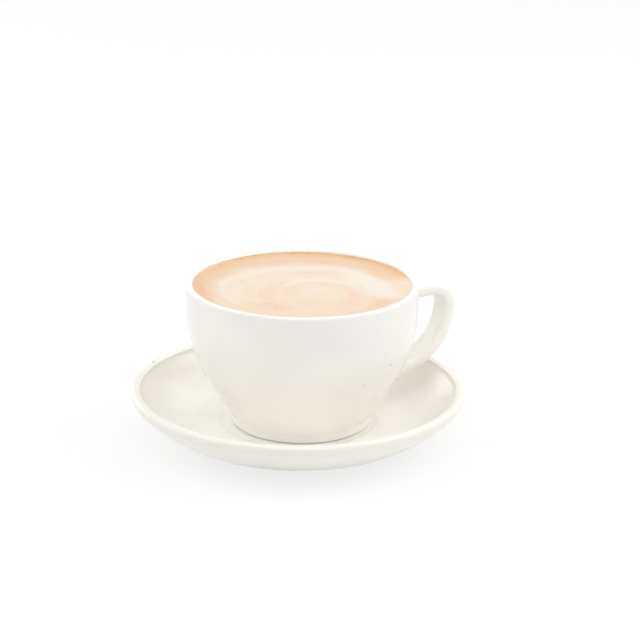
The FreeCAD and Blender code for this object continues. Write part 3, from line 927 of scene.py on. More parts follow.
@dataclass
class Strap:
    """The handle: a flat rounded strap with a level arm and a long curved side.

    Attributes:
        side: The bowl's outer side, which both ends flow into.
        arm: Height of the arm's middle above the cup's foot.
        reach: How far the middle of the long side is from the cup's axis.
        width: Width of the strap.
        thick: Its thickness.
        corner: Rounding of its long edges.
        shoulder: Radius of the bend from the arm to the long side.
        turn: How far the long side's arc turns before it runs straight to the bowl.
        root: Height at which that straight would reach the foot's radius.
        blend: Radius of the hollow round each end.
        blend_steps: How many rings make up the hollow.
        tuck: How far the hollow's edge sinks into the bowl.
        bury: How far the closed end lies under the bowl's surface.
        step: Distance between two rings.
        corner_points: How many points draw one of its rounded edges.
        ring_points: How many points a ring has.
        tail_zone: How far above the lower end a ring is still tested against it.
    """

    side: BowlSide
    arm: float
    reach: float
    width: float = 13.6 * MM
    thick: float = 6.5 * MM
    corner: float = 2.7 * MM
    shoulder: float = 8.9 * MM
    turn: float = math.radians(65)
    root: float = 10.75 * MM
    blend: float = 2.6 * MM
    blend_steps: int = 10
    tuck: float = 0.04 * MM
    bury: float = 1.4 * MM
    step: float = 0.9 * MM
    corner_points: int = 9
    ring_points: int = 56
    tail_zone: float = 12.0 * MM

    def route(self) -> tuple[np.ndarray, np.ndarray]:
        """Works out the middle line between the two places where it meets the bowl.

        Returns:
            The points, and the direction along the strap at each, both in the XZ plane.
        """
        top = self.arm - self.shoulder
        down = (top - self.root) * math.sin(self.turn)
        across = (self.reach - self.side.foot_radius) * math.cos(self.turn)
        loop = (down - across) / (1 - math.cos(self.turn))
        rim = self.side.radius_at(self.arm)
        places, headings = [], []

        def straight(start: np.ndarray, heading: float, length: float) -> None:
            """Adds a straight stretch, up to but not including its end.

            Args:
                start: Where it starts.
                heading: Its direction, as an angle in the XZ plane.
                length: How long it is.
            """
            steps = max(2, round(length / self.step))
            ahead = np.array([math.cos(heading), math.sin(heading)])
            for share in np.linspace(0, 1, steps, endpoint=False):
                places.append(start + ahead * length * share)
                headings.append(heading)

        def bend(centre: np.ndarray, radius: float, start: float, end: float) -> None:
            """Adds a bend from one angle round to the other, but for its end.

            Args:
                centre: The bend's centre.
                radius: Its radius.
                start: The angle where it starts.
                end: The angle where it ends, below the start.
            """
            steps = max(6, round(radius * (start - end) / self.step))
            for share in np.linspace(0, 1, steps, endpoint=False):
                angle = start + (end - start) * share
                places.append(centre + radius * np.array([math.cos(angle), math.sin(angle)]))
                headings.append(angle - math.pi / 2)

        bend_centre = np.array([self.reach - self.shoulder, top])
        loop_centre = np.array([self.reach - loop, top])
        straight(np.array([rim, self.arm]), 0.0, bend_centre[0] - rim)
        bend(bend_centre, self.shoulder, math.pi / 2, 0.0)
        bend(loop_centre, loop, 0.0, -self.turn)
        leave = loop_centre + loop * np.array([math.cos(self.turn), -math.sin(self.turn)])
        heading = -math.pi / 2 - self.turn
        ahead = np.array([math.cos(heading), math.sin(heading)])

        def inside(length: float) -> bool:
            """Says whether the strap's middle line has entered the bowl after a length."""
            place = leave + ahead * length
            return place[0] < self.side.radius_at(place[1])

        length = homed(inside, 0.0, 60 * MM, 0.01 * MM)
        straight(leave, heading, length)
        places.append(leave + ahead * length)
        headings.append(heading)
        return np.array(places), np.array(headings)

    def section(self) -> np.ndarray:
        """Draws the strap's cut face, a rounded rectangle.

        Returns:
            How far across and how far through the strap each of its points lies.
        """
        points = []
        for quarter in range(4):
            sign_across = 1 if quarter in (0, 3) else -1
            sign_through = 1 if quarter in (0, 1) else -1
            middle = np.array([sign_across * (self.width / 2 - self.corner),
                               sign_through * (self.thick / 2 - self.corner)])
            for share in np.linspace(0, 1, self.corner_points):
                angle = (quarter + share) * math.pi / 2
                points.append(middle + self.corner * np.array([math.cos(angle), math.sin(angle)]))
        return spread(np.array(points), self.ring_points)

    def meet(self, start: np.ndarray, ahead: np.ndarray) -> np.ndarray:
        """Finds where a straight line from outside the bowl reaches its side.

        Args:
            start: A point on the line near the bowl.
            ahead: The line's direction, into the bowl.

        Returns:
            The point on the bowl's side.
        """

        def inside(length: float) -> bool:
            """Says whether the line has entered the bowl after a length."""
            place = start + ahead * length
            return np.hypot(place[0], place[1]) < self.side.radius_at(place[2])

        return start + ahead * homed(inside, -25 * MM, 25 * MM, 0.002 * MM)

    def end(self, ring: np.ndarray, ahead: np.ndarray) -> list[np.ndarray]:
        """Flows one end of the strap into the bowl.

        Args:
            ring: The strap's last ring, on a straight stretch.
            ahead: The direction of that stretch, into the bowl.

        Returns:
            More rings, from the strap's surface to just under the bowl's.
        """
        seam = np.array([self.meet(point, ahead) for point in ring])
        middle = seam.mean(axis=0)
        rings = [np.empty_like(ring) for _ in range(self.blend_steps + 2)]
        for index, place in enumerate(seam):
            normal = self.side.outward(place)
            along = seam[(index + 1) % len(seam)] - seam[index - 1]
            away = np.cross(along, normal)
            away *= np.sign(away @ (place - middle)) / np.linalg.norm(away)
            turn = math.acos(np.clip(ahead @ away, -1, 1))
            reach = self.blend * math.tan(turn / 2)
            start = place - ahead * reach
            finish = self.on_side(place + away * reach, self.tuck)
            for step in range(self.blend_steps + 1):
                share = step / self.blend_steps
                rings[step][index] = rounded(start, place, finish, turn, share)
            rings[-1][index] = self.on_side(place + away * (reach + self.tuck), self.bury)
        return rings

    def on_side(self, place: np.ndarray, depth: float) -> np.ndarray:
        """Moves a place straight towards or away from the axis, to just under the side.

        Args:
            place: The place.
            depth: How deep under the side it goes.

        Returns:
            The place under the side.
        """
        radius = self.side.radius_at(place[2]) - depth
        around = place[:2] / np.hypot(*place[:2])
        return np.array([around[0] * radius, around[1] * radius, place[2]])

    def build(self) -> Shell:
        """Works out the whole handle as one closed surface.

        Returns:
            The points and the faces.
        """
        places, headings = self.route()
        section = self.section()
        rings = []
        for place, heading in zip(places, headings):
            outward = np.array([-math.sin(heading), 0, math.cos(heading)])
            middle = np.array([place[0], 0, place[1]])
            across = np.array([0.0, 1.0, 0.0])
            rings.append(middle + section[:, :1] * across + section[:, 1:] * outward)
        first = -np.array([math.cos(headings[0]), 0, math.sin(headings[0])])
        last = np.array([math.cos(headings[-1]), 0, math.sin(headings[-1])])
        head = self.end(rings[0], first)
        tail = self.end(rings[-1], last)
        kept = [ring for ring in rings if self._between(ring, head[0], tail[0], first, last)]
        ordered = head[::-1] + kept + tail
        return tube(np.array(ordered), ordered[0].mean(axis=0), ordered[-1].mean(axis=0))

    def _between(self, ring: np.ndarray, head: np.ndarray, tail: np.ndarray,
                 first: np.ndarray, last: np.ndarray) -> bool:
        """Says whether a ring lies wholly between the two hollows.

        Args:
            ring: The ring.
            head: The upper hollow's first ring.
            tail: The lower hollow's first ring.
            first: The direction of the strap into the bowl at its upper end.
            last: The same at its lower end.

        Returns:
            Whether it lies between them.
        """
        clear_of_head = np.all((head - ring) @ first > 0)
        near_tail = ring[:, 2].mean() < tail[:, 2].max() + self.tail_zone
        clear_of_tail = not near_tail or np.all((tail - ring) @ last > 0)
        return bool(clear_of_head and clear_of_tail)


def homed(inside: Callable[[float], bool], low: float, high: float, tolerance: float) -> float:
    """Homes in on the length at which a line reaches the inside of something.

    Args:
        inside: Says whether the line's end is inside at a length.
        low: A length at which it is outside.
        high: A length at which it is inside.
        tolerance: How close to come.

    Returns:
        The length, just outside.
    """
    while high - low > tolerance:
        middle = (low + high) / 2
        low, high = (low, middle) if inside(middle) else (middle, high)
    return low


def spread(points: np.ndarray, count: int) -> np.ndarray:
    """Spaces points evenly round a closed outline.

    Args:
        points: The outline's points.
        count: How many points to return.

    Returns:
        The evenly spaced points.
    """
    closed = np.concatenate((points, points[:1]))
    along = measured(closed)
    return picked(closed, along, np.linspace(0, along[-1], count, endpoint=False))


@dataclass
class Cup:
    """The wide cup on a low foot, with its strap handle.

    Attributes:
        axis: How far the cup's axis stands from the saucer's.
        rest: Height of the well's floor, which the cup stands on.
        height: Foot to top of rim.
        rim_radius: Axis to outside of rim.
        handle_reach: Axis to the outermost face of the handle.
        wall: Thickness of the bowl's side.
        lip_round: Rounding of the rim's edges.
        foot_radius: Outer radius of the foot.
        foot_height: Height of its upright side.
        foot_width: Width of the ring that it stands on.
        foot_recess: How far the bottom inside the ring stands above the saucer.
        foot_edge: Rounding of its outer lower edge.
        foot_waist: Rounding where the bowl flares out of it.
        ring_edge: Rounding of its inner lower edge.
        recess_edge: Rounding of the corner inside it.
        base_wall: Thickness of the bowl's floor.
        floor_curve: Rounding between the inside's floor and side.
        side_height: Height of the upright band under the rim.
        bowl_fullness: How round the side is: 0 is a straight cone and 1 is one single arc.
        arm_drop: How far the middle of the handle's arm lies under the rim's top.
        segments: How many steps go round the mesh.
    """

    axis: float
    rest: float
    height: float
    rim_radius: float
    handle_reach: float
    wall: float = 3.3 * MM
    lip_round: float = 1.48 * MM
    foot_radius: float = 33.3 * MM
    foot_height: float = 4.5 * MM
    foot_width: float = 4.0 * MM
    foot_recess: float = 2.2 * MM
    foot_edge: float = 1.4 * MM
    foot_waist: float = 6.0 * MM
    ring_edge: float = 0.7 * MM
    recess_edge: float = 0.8 * MM
    base_wall: float = 4.6 * MM
    floor_curve: float = 16.0 * MM
    side_height: float = 11.3 * MM
    bowl_fullness: float = 0.4935
    arm_drop: float = 10.5 * MM
    segments: int = 256

    @property
    def side(self) -> BowlSide:
        """The bowl's outer side.

        Returns:
            The side that fits the cup's sizes.
        """
        upright = self.height - self.side_height
        return BowlSide(
            foot_radius=self.foot_radius,
            foot_height=self.foot_height,
            rim_radius=self.rim_radius,
            upright=upright,
            fullness=self.bowl_fullness,
        )

    @property
    def place(self) -> np.ndarray:
        """Where the middle of the cup's foot stands."""
        return np.array([self.axis, 0, self.rest])

    def inside(self, outline: Outline, wall: float) -> None:
        """Adds the bowl's inside to an outline, from below its top corner down to the floor.

        Args:
            outline: The outline to add to, which ends at the top corner.
            wall: How far inside the outer side it runs.
        """
        side = self.side
        lean = wall / math.cos(side.slope)
        inner = self.rim_radius - wall
        knee = side.knee + lean - wall * math.tan(side.slope)
        floor = self.foot_recess + self.base_wall + wall - self.wall
        flare_foot = self.foot_height + lean
        corner = self.foot_radius + (floor - flare_foot) / math.tan(side.slope)
        outline.corner(inner, knee, side.radius - wall)
        outline.corner(corner, floor, self.floor_curve)
        outline.corner(0, floor)

    def outline(self) -> Outline:
        """Draws the bowl's cut face.

        Returns:
            The outline, from under the foot outwards, over the rim and down to the floor.
        """
        outline = Outline()
        side = self.side
        ring = self.foot_radius - self.foot_width
        outline.corner(0, self.foot_recess)
        outline.corner(ring, self.foot_recess, self.recess_edge)
        outline.corner(ring, 0, self.ring_edge)
        outline.corner(self.foot_radius, 0, self.foot_edge)
        outline.corner(self.foot_radius, self.foot_height, self.foot_waist)
        outline.corner(self.rim_radius, side.knee, side.radius)
        outline.corner(self.rim_radius, self.height, self.lip_round)
        outline.corner(self.rim_radius - self.wall, self.height, self.lip_round)
        self.inside(outline, self.wall)
        return outline

    def strap(self) -> Strap:
        """Returns the handle that fits this bowl."""
        return Strap(self.side, self.height - self.arm_drop, self.handle_reach - Strap.thick / 2)

    def build(self, glaze: Glaze, bisque: Bisque) -> bpy.types.Object:
        """Makes the cup with its handle and dresses it.

        Args:
            glaze: The finish all over.
            bisque: The finish of the ring it stands on.

        Returns:
            The cup.
        """
        kiln = Kiln(
            oval=0.1 * MM,
            sway=0.08 * MM,
            still=self.foot_radius,
            reach=self.rim_radius,
            turn=-20,
        )
        bowl = turned(self.outline().curve(), self.segments)
        points, faces = join([bowl, self.strap().build()])
        piece = solid("cup_body", kiln.pull(points) + self.place, faces)
        bare_foot(piece, glaze, bisque, self.rest + WIPED)
        even_highlights(piece)
        return piece


def bare_foot(piece: bpy.types.Object, glaze: Glaze, bisque: Bisque, height: float) -> None:
    """Glazes a piece all over but for the faces that it stands on.

    Args:
        piece: The piece to dress.
        glaze: The finish all over.
        bisque: The finish of the ring it stands on.
        height: The height up to which the ring was wiped.
    """
    piece.data.materials.append(glaze.build())
    piece.data.materials.append(bisque.build())
    for face in piece.data.polygons:
        face.material_index = 1 if face.center.z < height else 0


# ---------------------------------------------------------------- drink


@dataclass(frozen=True)
class Stroke:
    """One arc of paler foam or darker tea that the swirl has drawn.

    Attributes:
        middle: Where the arc's centre is, right of and beyond the cup's axis as one looks along
            the drink's facing direction.
        radius: The arc's radius where it starts and where it ends.
        start: The angle where it starts, in degrees anticlockwise from the right.
        end: The angle where it ends.
        width: Half of its width.
        tone: How much paler it is, or darker below 0.
        warmth: How much pinker it is.
    """

    middle: tuple[float, float]
    radius: tuple[float, float]
    start: float
    end: float
    width: float
    tone: float
    warmth: float = 0.0

    def strength(self, right: np.ndarray, beyond: np.ndarray) -> np.ndarray:
        """Says how strongly the arc shows at each place.

        Args:
            right: How far right of the axis each place is.
            beyond: How far beyond the axis each place is.

        Returns:
            A share from 0 to 1 for each place.
        """
        across, ahead = right - self.middle[0], beyond - self.middle[1]
        span = self.end - self.start
        angle = np.mod(np.degrees(np.arctan2(ahead, across)) - self.start + 90, 360) - 90
        share = np.clip(angle / span, 0, 1)
        radius = self.radius[0] + (self.radius[1] - self.radius[0]) * share
        off = (np.hypot(across, ahead) - radius) / self.width
        fade = smooth(-0.22, 0.12, angle / span) * (1 - smooth(0.88, 1.22, angle / span))
        return np.exp(-(off**2)) * fade


def strokes() -> list[Stroke]:
    """Lists the arcs of the swirl.

    Returns:
        The arcs, from the wall inwards.
    """
    eye = (8 * MM, -13 * MM)
    drift = (0.0, -8 * MM)
    axis = (0.0, 0.0)
    return [
        Stroke(axis, (50.5 * MM, 50.5 * MM), 200, 262, 1.4 * MM, -0.3),
        Stroke(axis, (46 * MM, 46 * MM), -62, -30, 3.6 * MM, -0.16, 0.1),
        Stroke(axis, (47 * MM, 47 * MM), -16, 4, 4.0 * MM, -0.12, 0.1),
        Stroke(drift, (38 * MM, 37 * MM), 150, 210, 2.6 * MM, 0.14),
        Stroke(drift, (34.5 * MM, 33 * MM), 48, 138, 4.2 * MM, 0.14),
        Stroke(eye, (36 * MM, 37 * MM), 150, 198, 2.5 * MM, 0.08),
        Stroke(eye, (33 * MM, 32 * MM), 78, 116, 3.4 * MM, -0.09, 0.12),
        Stroke(eye, (29 * MM, 31 * MM), -4, 58, 8.2 * MM, 0.28),
        Stroke(eye, (31 * MM, 30 * MM), -34, -15, 5.4 * MM, -0.24, 0.1),
        Stroke(eye, (30 * MM, 31 * MM), 214, 242, 6.2 * MM, -0.2),
        Stroke(eye, (26 * MM, 25 * MM), 150, 202, 3.3 * MM, -0.13),
        Stroke(eye, (20.5 * MM, 19.5 * MM), 50, 142, 2.6 * MM, 0.15),
        Stroke(eye, (15.6 * MM, 15 * MM), 40, 130, 1.5 * MM, -0.09),
        Stroke(eye, (22 * MM, 14.5 * MM), -62, 22, 2.9 * MM, -0.15, 0.3),
        Stroke(eye, (18 * MM, 18 * MM), 248, 288, 3.4 * MM, -0.11),
        Stroke(eye, (14 * MM, 16 * MM), 132, 188, 3.2 * MM, -0.07, 0.1),
        Stroke(eye, (8 * MM, 7 * MM), 60, 200, 1.8 * MM, 0.05),
    ]


@dataclass
class Drink:
    """The milky tea, with foam in a slow swirl and small bubbles at the wall.

    Attributes:
        cup: The cup that it fills.
        level: Height of its surface above the cup's foot.
        facing: The heading that the swirl was drawn along, in degrees clockwise from +Y.
        open_middle: The middle of the sector where bare tea shows along the wall.
        open_half: Half of that sector.
        raft: Radii between which the raft of foam thins out to bare tea.
        raft_drift: How far the raft has drifted towards the front.
        eye: The middle of the swirl's streaks, right of and beyond the cup's axis.
        streak: How long a streak is, as bumps in a turn, and how wide.
        into_wall: How far the drink reaches into the cup's wall.
        climb: How far the surface climbs the wall, and over what width.
        foam_height: How far the palest foam stands above bare tea.
        wander: How far the arcs of the swirl wander off a true circle.
        foam_tone: Tone of the foam at the front, and how much paler it is at the back.
        bare_tone: Tone of bare tea, and how much darker it is at the wall.
        rings: How many rings of points the surface has.
        segments: How many steps go round it.
        bubbles: How many bubbles there are.
        bubble_size: The smallest bubble's radius, and how much larger the largest may be.
        bubble_heading: The heading of most bubbles, and how widely they scatter.
        wall_bubbles: The share of the bubbles that lies along the wall.
        seed: The seed of the bubbles' random places.
    """

    cup: Cup
    level: float
    facing: float = 25.0
    open_middle: float = 112.0
    open_half: float = 101.0
    raft: tuple[float, float] = (37.5 * MM, 47.5 * MM)
    raft_drift: float = 8.5 * MM
    eye: tuple[float, float] = (8.0 * MM, -14.0 * MM)
    streak: tuple[float, float] = (2.2, 2.4 * MM)
    into_wall: float = 0.6 * MM
    climb: tuple[float, float] = (0.55 * MM, 1.1 * MM)
    foam_height: float = 0.3 * MM
    wander: float = 1.1 * MM
    foam_tone: tuple[float, float] = (0.63, 0.1)
    bare_tone: tuple[float, float] = (0.27, 0.17)
    rings: int = 132
    segments: int = 384
    bubbles: int = 150
    bubble_size: tuple[float, float] = (0.16 * MM, 0.34 * MM)
    bubble_heading: tuple[float, float] = (97.0, 32.0)
    wall_bubbles: float = 0.92
    seed: int = 7

    @property
    def inner(self) -> float:
        """The radius of the cup's inside at the surface."""
        return self.cup.rim_radius - self.cup.wall

    def faced(self, x: np.ndarray, y: np.ndarray) -> tuple[np.ndarray, np.ndarray]:
        """Turns places into ones seen along the facing.

        Args:
            x: How far along the handle's direction each place is from the cup's axis.
            y: How far to the left of it.

        Returns:
            How far right of the axis, and how far beyond it, each place is.
        """
        turn = math.radians(self.facing)
        right = x * math.cos(turn) - y * math.sin(turn)
        beyond = x * math.sin(turn) + y * math.cos(turn)
        return right, beyond

    def looks(self, x: np.ndarray, y: np.ndarray) -> tuple[np.ndarray, np.ndarray, np.ndarray]:
        """Works out the foam at each place of the surface.

        Args:
            x: How far along the handle's direction each place is from the cup's axis.
            y: How far to the left of it.

        Returns:
            The tone, the warmth and the relief's height.
        """
        right, beyond = self.faced(x, y)
        across = right + self.wander * ripple(right, beyond, 150.0, 0.3)
        ahead = beyond + self.wander * ripple(beyond, right, 130.0, 1.9)
        tone = self.foam_tone[0] + self.foam_tone[1] * smooth(-38 * MM, 8 * MM, beyond)
        warmth = np.zeros_like(right)
        for stroke in strokes():
            share = stroke.strength(across, ahead)
            tone += stroke.tone * share
            warmth += stroke.warmth * share
        bare = smooth(*self.raft, np.hypot(across, ahead + self.raft_drift))
        heading = np.degrees(np.arctan2(beyond, right))
        away = np.abs(np.mod(heading - self.open_middle + 180, 360) - 180)
        bare *= 1 - smooth(self.open_half - 10, self.open_half + 8, away)
        at_wall = smooth(42 * MM, 51 * MM, np.hypot(right, beyond))
        tone = tone * (1 - bare) + bare * (self.bare_tone[0] - self.bare_tone[1] * at_wall)
        warmth = np.clip(warmth * (1 - bare), 0, 1)
        relief = self.foam_height * (smooth(0.1, 0.9, tone) - 0.5)
        return np.clip(tone, 0, 1), warmth, relief

    def stream(self, x: np.ndarray, y: np.ndarray) -> np.ndarray:
        """Works out a place along and across the swirl, for the fine streaks.

        Args:
            x: How far along the handle's direction each place is from the cup's axis.
            y: How far to the left of it.

        Returns:
            One row of three for each place.
        """
        right, beyond = self.faced(x, y)
        ring = np.hypot(right, beyond)
        # Each ring's own middle lies between the axis and the eye, so its size is homed in on.
        for _ in range(12):
            share = np.clip(1 - ring / self.inner, 0, 1)
            from_middle = np.hypot(right - self.eye[0] * share, beyond - self.eye[1] * share)
            ring = 0.5 * ring + 0.5 * from_middle
        share = np.clip(1 - ring / self.inner, 0, 1)
        angle = np.arctan2(beyond - self.eye[1] * share, right - self.eye[0] * share)
        length, width = self.streak
        return np.stack([length * np.cos(angle), length * np.sin(angle), ring / width], axis=1)

    def lift(self, relief: np.ndarray, gap: np.ndarray) -> np.ndarray:
        """Works out how far the surface stands above its level.

        Args:
            relief: The foam's height at each place.
            gap: How far each place is from the wall.

        Returns:
            The foam's height, which dies out at the wall, and the film that climbs the wall.
        """
        height, width = self.climb
        return relief * smooth(0, 2.5 * MM, gap) + height * np.exp(-((gap / width) ** 1.3))

    def build(self, tea: Tea) -> bpy.types.Object:
        """Makes the drink, from its surface to the cup's floor, and dresses it.

        Args:
            tea: Its finish.

        Returns:
            The drink.
        """
        edge = self.inner + self.into_wall
        shares = np.linspace(0, 1, self.rings + 1)[1:]
        radii = edge * (1 - (1 - shares) ** 1.25)
        below = Outline()
        below.corner(0, self.level)
        below.corner(edge, self.level)
        self.cup.inside(below, self.cup.wall - self.into_wall)
        hidden = below.curve()
        keep = hidden[:, 1] < self.level - 1.5 * MM
        curve = np.concatenate((
            [[0, self.level]],
            np.stack([radii, np.full_like(radii, self.level)], axis=1),
            hidden[keep],
        ))[::-1]
        points, faces = turned(curve, self.segments)
        top = np.isclose(points[:, 2], self.level)
        x, y = points[:, 0], points[:, 1]
        tone, warmth, relief = self.looks(x, y)
        gap = np.maximum(self.inner - np.hypot(x, y), 0)
        points[:, 2] += np.where(top, self.lift(relief, gap), 0)
        piece = solid("latte_surface", points + self.cup.place, faces)
        store(piece, "tone", tone)
        store(piece, "warmth", warmth)
        store(piece, "stream", self.stream(x, y))
        piece.data.materials.append(tea.build())
        return piece

    def froth(self, skin: BubbleSkin) -> bpy.types.Object:
        """Makes the small bubbles, thickest along the wall.

        Args:
            skin: Their finish.

        Returns:
            All the bubbles, as one piece.
        """
        chance = np.random.default_rng(self.seed)
        shells = []
        for number in range(self.bubbles):
            size = self.bubble_size[0] + self.bubble_size[1] * chance.random() ** 3
            if number < self.wall_bubbles * self.bubbles:
                heading, scatter = self.bubble_heading
                angle = math.radians(chance.normal(heading - self.facing, scatter))
                radius = self.inner - size - 1.2 * MM * chance.random() ** 2
            else:
                angle = math.radians(360 * chance.random())
                radius = self.inner * math.sqrt(chance.random()) * 0.95
            x, y = radius * math.cos(angle), radius * math.sin(angle)
            _, _, relief = self.looks(np.array([x]), np.array([y]))
            lift = float(self.lift(relief, np.array([self.inner - radius]))[0])
            shells.append(dome(np.array([x, y, self.level + lift]), size))
        points, faces = join(shells)
        piece = solid("foam_bubbles", points + self.cup.place, faces)
        piece.data.materials.append(skin.build())
        return piece


def ripple(first: np.ndarray, second: np.ndarray, scale: float, phase: float) -> np.ndarray:
    """Returns a slow uneven wave, -1 to 1, that keeps arcs from looking drawn with a compass.

    Args:
        first: The place that the wave runs along.
        second: The place across it.
        scale: How many radians the wave turns in a metre.
        phase: Where it starts.

    Returns:
        The wave at each place.
    """
    long_wave = np.sin(scale * first + 1.7 * np.sin(0.6 * scale * second + phase) + phase)
    short_wave = np.sin(2.7 * scale * second + 1.3 * np.sin(1.9 * scale * first) - phase)
    return 0.7 * long_wave + 0.3 * short_wave


def dome(place: np.ndarray, size: float) -> Shell:
    """Makes one bubble, a low closed dome that sits in the surface.

    Args:
        place: The middle of its base.
        size: Its radius.

    Returns:
        The points and the faces.
    """
    sunk = 0.25 * size
    profile = [(0.0, -sunk), (0.7 * size, -sunk)]
    for share in np.linspace(-0.1, 1, 5):
        angle = share * math.pi / 2
        profile.append((size * math.cos(angle), 0.6 * size * math.sin(angle)))
    points, faces = turned(np.array(profile), 12)
    return points + place, faces


def store(piece: bpy.types.Object, name: str, values: np.ndarray) -> None:
    """Keeps a value, or a vector, for each point of a mesh, for its finish to read.

    Args:
        piece: The piece that the mesh belongs to.
        name: The name that the finish reads.
        values: One value, or one row of three, for each point.
    """
    kind, part = ("FLOAT", "value") if values.ndim == 1 else ("FLOAT_VECTOR", "vector")
    attribute = piece.data.attributes.new(name, kind, "POINT")
    attribute.data.foreach_set(part, values.astype(np.float32).ravel())


# ---------------------------------------------------------------- studio


@dataclass(frozen=True)
class SoftBox:
    """A large soft lamp.

    Attributes:
        name: The lamp's name.
        bearing: Its direction from the cup, in degrees clockwise from +Y seen from above.
        height: Its direction above the table, in degrees.
        size: Its width and height.
        power: Its power in watts.
        distance: How far it is from the cup.
    """

    name: str
    bearing: float
    height: float
    size: tuple[float, float]
    power: float
    distance: float = 1.6

    def build(self, aim: Vector) -> None:
        """Hangs the lamp and turns it to a point.

        Args:
            aim: The point.
        """
        lamp = bpy.data.lights.new(self.name, "AREA")
        lamp.shape = "RECTANGLE"
        lamp.size, lamp.size_y = self.size
        lamp.energy = self.power
        holder = bpy.data.objects.new(self.name, lamp)
        bpy.context.scene.collection.objects.link(holder)
        holder.location = aim + direction(self.bearing, self.height) * self.distance
        holder.rotation_euler = (aim - holder.location).to_track_quat("-Z", "Y").to_euler()


def direction(bearing: float, height: float) -> Vector:
    """Returns the direction at a bearing clockwise from +Y and an angle above level."""
    turn, rise = math.radians(bearing), math.radians(height)
    return Vector((math.sin(turn) * math.cos(rise), math.cos(turn) * math.cos(rise), math.sin(rise)))


@dataclass
class Studio:
    """The white floor, the soft lamps and the camera.

    Attributes:
        aim: The point in the middle of the picture.
        bearing: The camera's direction from there, in degrees clockwise from +Y.
        height: Its direction above level.
        distance: How far it stands away.
        lean: How far it is tilted about its own line of sight.
        lens: Its focal length in millimetres.
        floor_size: Length of the floor's side.
        glow: Strength of the room's soft light.
    """

    aim: Vector
    bearing: float = 205.0
    height: float = 18.62
    distance: float = 1.028
    lean: float = 0.71
    lens: float = 121.5
    floor_size: float = 9.0
    glow: float = 0.585

    def lamps(self) -> list[SoftBox]:
        """Lists the lamps of the studio.

        Returns:
            The lamps.
        """
        return [
            SoftBox("right box", 115.0, 42.0, (1.2, 1.2), 9.2),
            SoftBox("left box", 295.0, 42.0, (1.2, 1.2), 6.3),
            SoftBox("back box", 45.0, 42.0, (0.9, 0.9), 2.6),
            SoftBox("low back box", 345.0, 12.0, (0.9, 0.6), 2.6),
            SoftBox("front box", 205.0, 68.0, (1.1, 0.9), 4.9),
        ]

    def build(self) -> bpy.types.Object:
        """Sets the studio up.

        Returns:
            The floor.
        """
        scene = bpy.context.scene
        scene.view_settings.view_transform = "Standard"
        self.world(scene)
        for lamp in self.lamps():
            lamp.build(self.aim)
        self.camera(scene)
        return self.floor()

    def camera(self, scene: bpy.types.Scene) -> None:
        """Stands the camera where it looks down at the cup.

        Args:
            scene: The scene that it looks at.
        """
        data = bpy.data.cameras.new("camera")
        data.lens = self.lens
        data.sensor_width = 36.0
        camera = bpy.data.objects.new("camera", data)
        scene.collection.objects.link(camera)
        camera.location = self.aim + direction(self.bearing, self.height) * self.distance
        level = (self.aim - camera.location).to_track_quat("-Z", "Y")
        camera.rotation_mode = "QUATERNION"
        camera.rotation_quaternion = level @ Quaternion((0, 0, 1), math.radians(self.lean))
        scene.camera = camera

    def world(self, scene: bpy.types.Scene) -> None:
        """Fills the room with soft light and shows it as white to the eye.

        Args:
            scene: The scene that is lit.
        """
        sheet = NodeSheet(bpy.data.worlds.new("studio"))
        soft = sheet.add("Background", {"Color": WHITE, "Strength": self.glow})
        white = sheet.add("Background", {"Color": WHITE, "Strength": 1.0})
        scene.world = sheet.finish(sheet.either(sheet.seen(), soft, white), "OutputWorld")

    def floor(self) -> bpy.types.Object:
        """Lays the paper that everything stands on.

        Returns:
            The floor.
        """
        half = self.floor_size / 2
        corners = np.array([(-half, -half, 0), (half, -half, 0), (half, half, 0), (-half, half, 0)])
        floor = solid("studio_floor", corners, [(0, 1, 2, 3)])
        floor.data.materials.append(Paper().build())
        return floor


# ---------------------------------------------------------------- whole


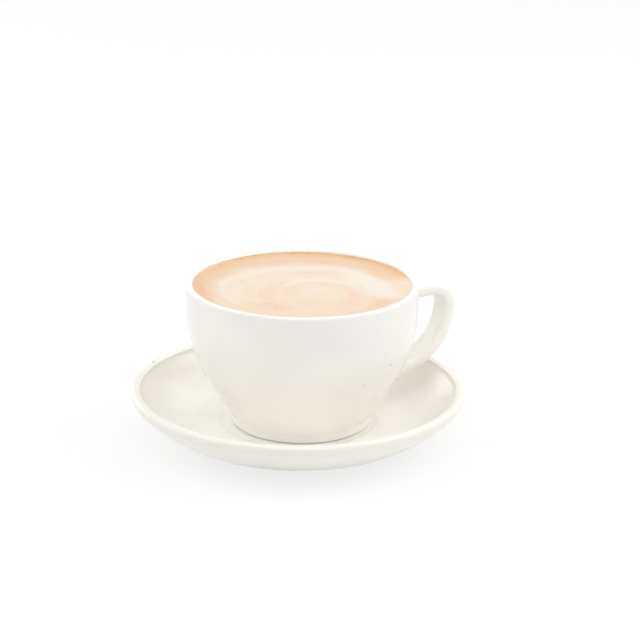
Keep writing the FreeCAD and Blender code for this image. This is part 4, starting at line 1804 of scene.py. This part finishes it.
def saucer_glaze() -> Glaze:
    """Mixes the saucer's glaze, with the pinhole in its rim and the faint mark on its side.

    Returns:
        The glaze.
    """
    pits = (
        ((-52.2 * MM, 58.3 * MM, 25.4 * MM), 1.0 * MM),
        ((-19.7 * MM, -71.2 * MM, 15.4 * MM), 0.2 * MM),
    )
    return Glaze(
        "saucer glaze",
        # Paler towards the middle and darker out at the rim: glaze pooling, and also painted light
        # near the cup's foot and painted shade inside the rim.
        thin_shade_from=76 * MM,
        pool_light_to=46 * MM,
        thin=paint(243, 239, 231),
        thick=paint(253, 252, 247),
        pits=pits,
        dished=True,
    )


def cup_glaze() -> Glaze:
    """Mixes the cup's glaze, with the two specks that fired into its side.

    Returns:
        The glaze.
    """
    pits = (
        ((26.0 * MM, -46.6 * MM, 47.7 * MM), 0.4 * MM),
        ((11.0 * MM, -49.1 * MM, 40.4 * MM), 0.35 * MM),
    )
    return Glaze(
        "cup glaze",
        # Paler low on the bowl and darker higher up: glaze pooling, and also painted bounced light
        # from the saucer and painted shade on the upper side.
        thin_shade_from=72 * MM,
        pool_light_to=30 * MM,
        thick=paint(253, 250, 243),
        pits=pits,
    )


def main() -> None:
    """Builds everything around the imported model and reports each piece."""
    logging.basicConfig(level=logging.INFO, format="%(name)s: %(message)s", force=True)
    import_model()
    _, saucer_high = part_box(Part.SAUCER.value)
    cup_low, cup_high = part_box(Part.CUP.value)
    _, latte_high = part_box(Part.LATTE.value)

    axis = cup_low.x + cup_high.y
    cup = Cup(
        axis=axis,
        rest=cup_low.z,
        height=cup_high.z - cup_low.z,
        rim_radius=cup_high.y,
        handle_reach=cup_high.x - axis,
    )
    saucer = Saucer(
        radius=saucer_high.y,
        height=saucer_high.z,
        rest=cup_low.z,
        well=cup.foot_radius + axis + WELL_GAP,
    )
    drink = Drink(cup=cup, level=latte_high.z - cup_low.z)

    studio = Studio(aim=Vector((0.0091, -0.0043, 0.0588)))
    studio.build()

    bisque = Bisque()
    pieces = [
        (saucer.build(saucer_glaze(), bisque), Part.SAUCER, Slot.SAUCER_GLAZE),
        (cup.build(cup_glaze(), bisque), Part.CUP, Slot.CUP_GLAZE),
        (drink.build(Tea()), Part.LATTE, Slot.DRINK),
        (drink.froth(BubbleSkin()), None, Slot.DRINK),
    ]
    for piece, part, slot in pieces:
        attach(piece, BODY)
        if part is not None:
            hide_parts(part.value)
        log.info("%s: %d faces, slot %s", piece.name, len(piece.data.polygons), slot.value)


if __name__ == "__main__":
    main()
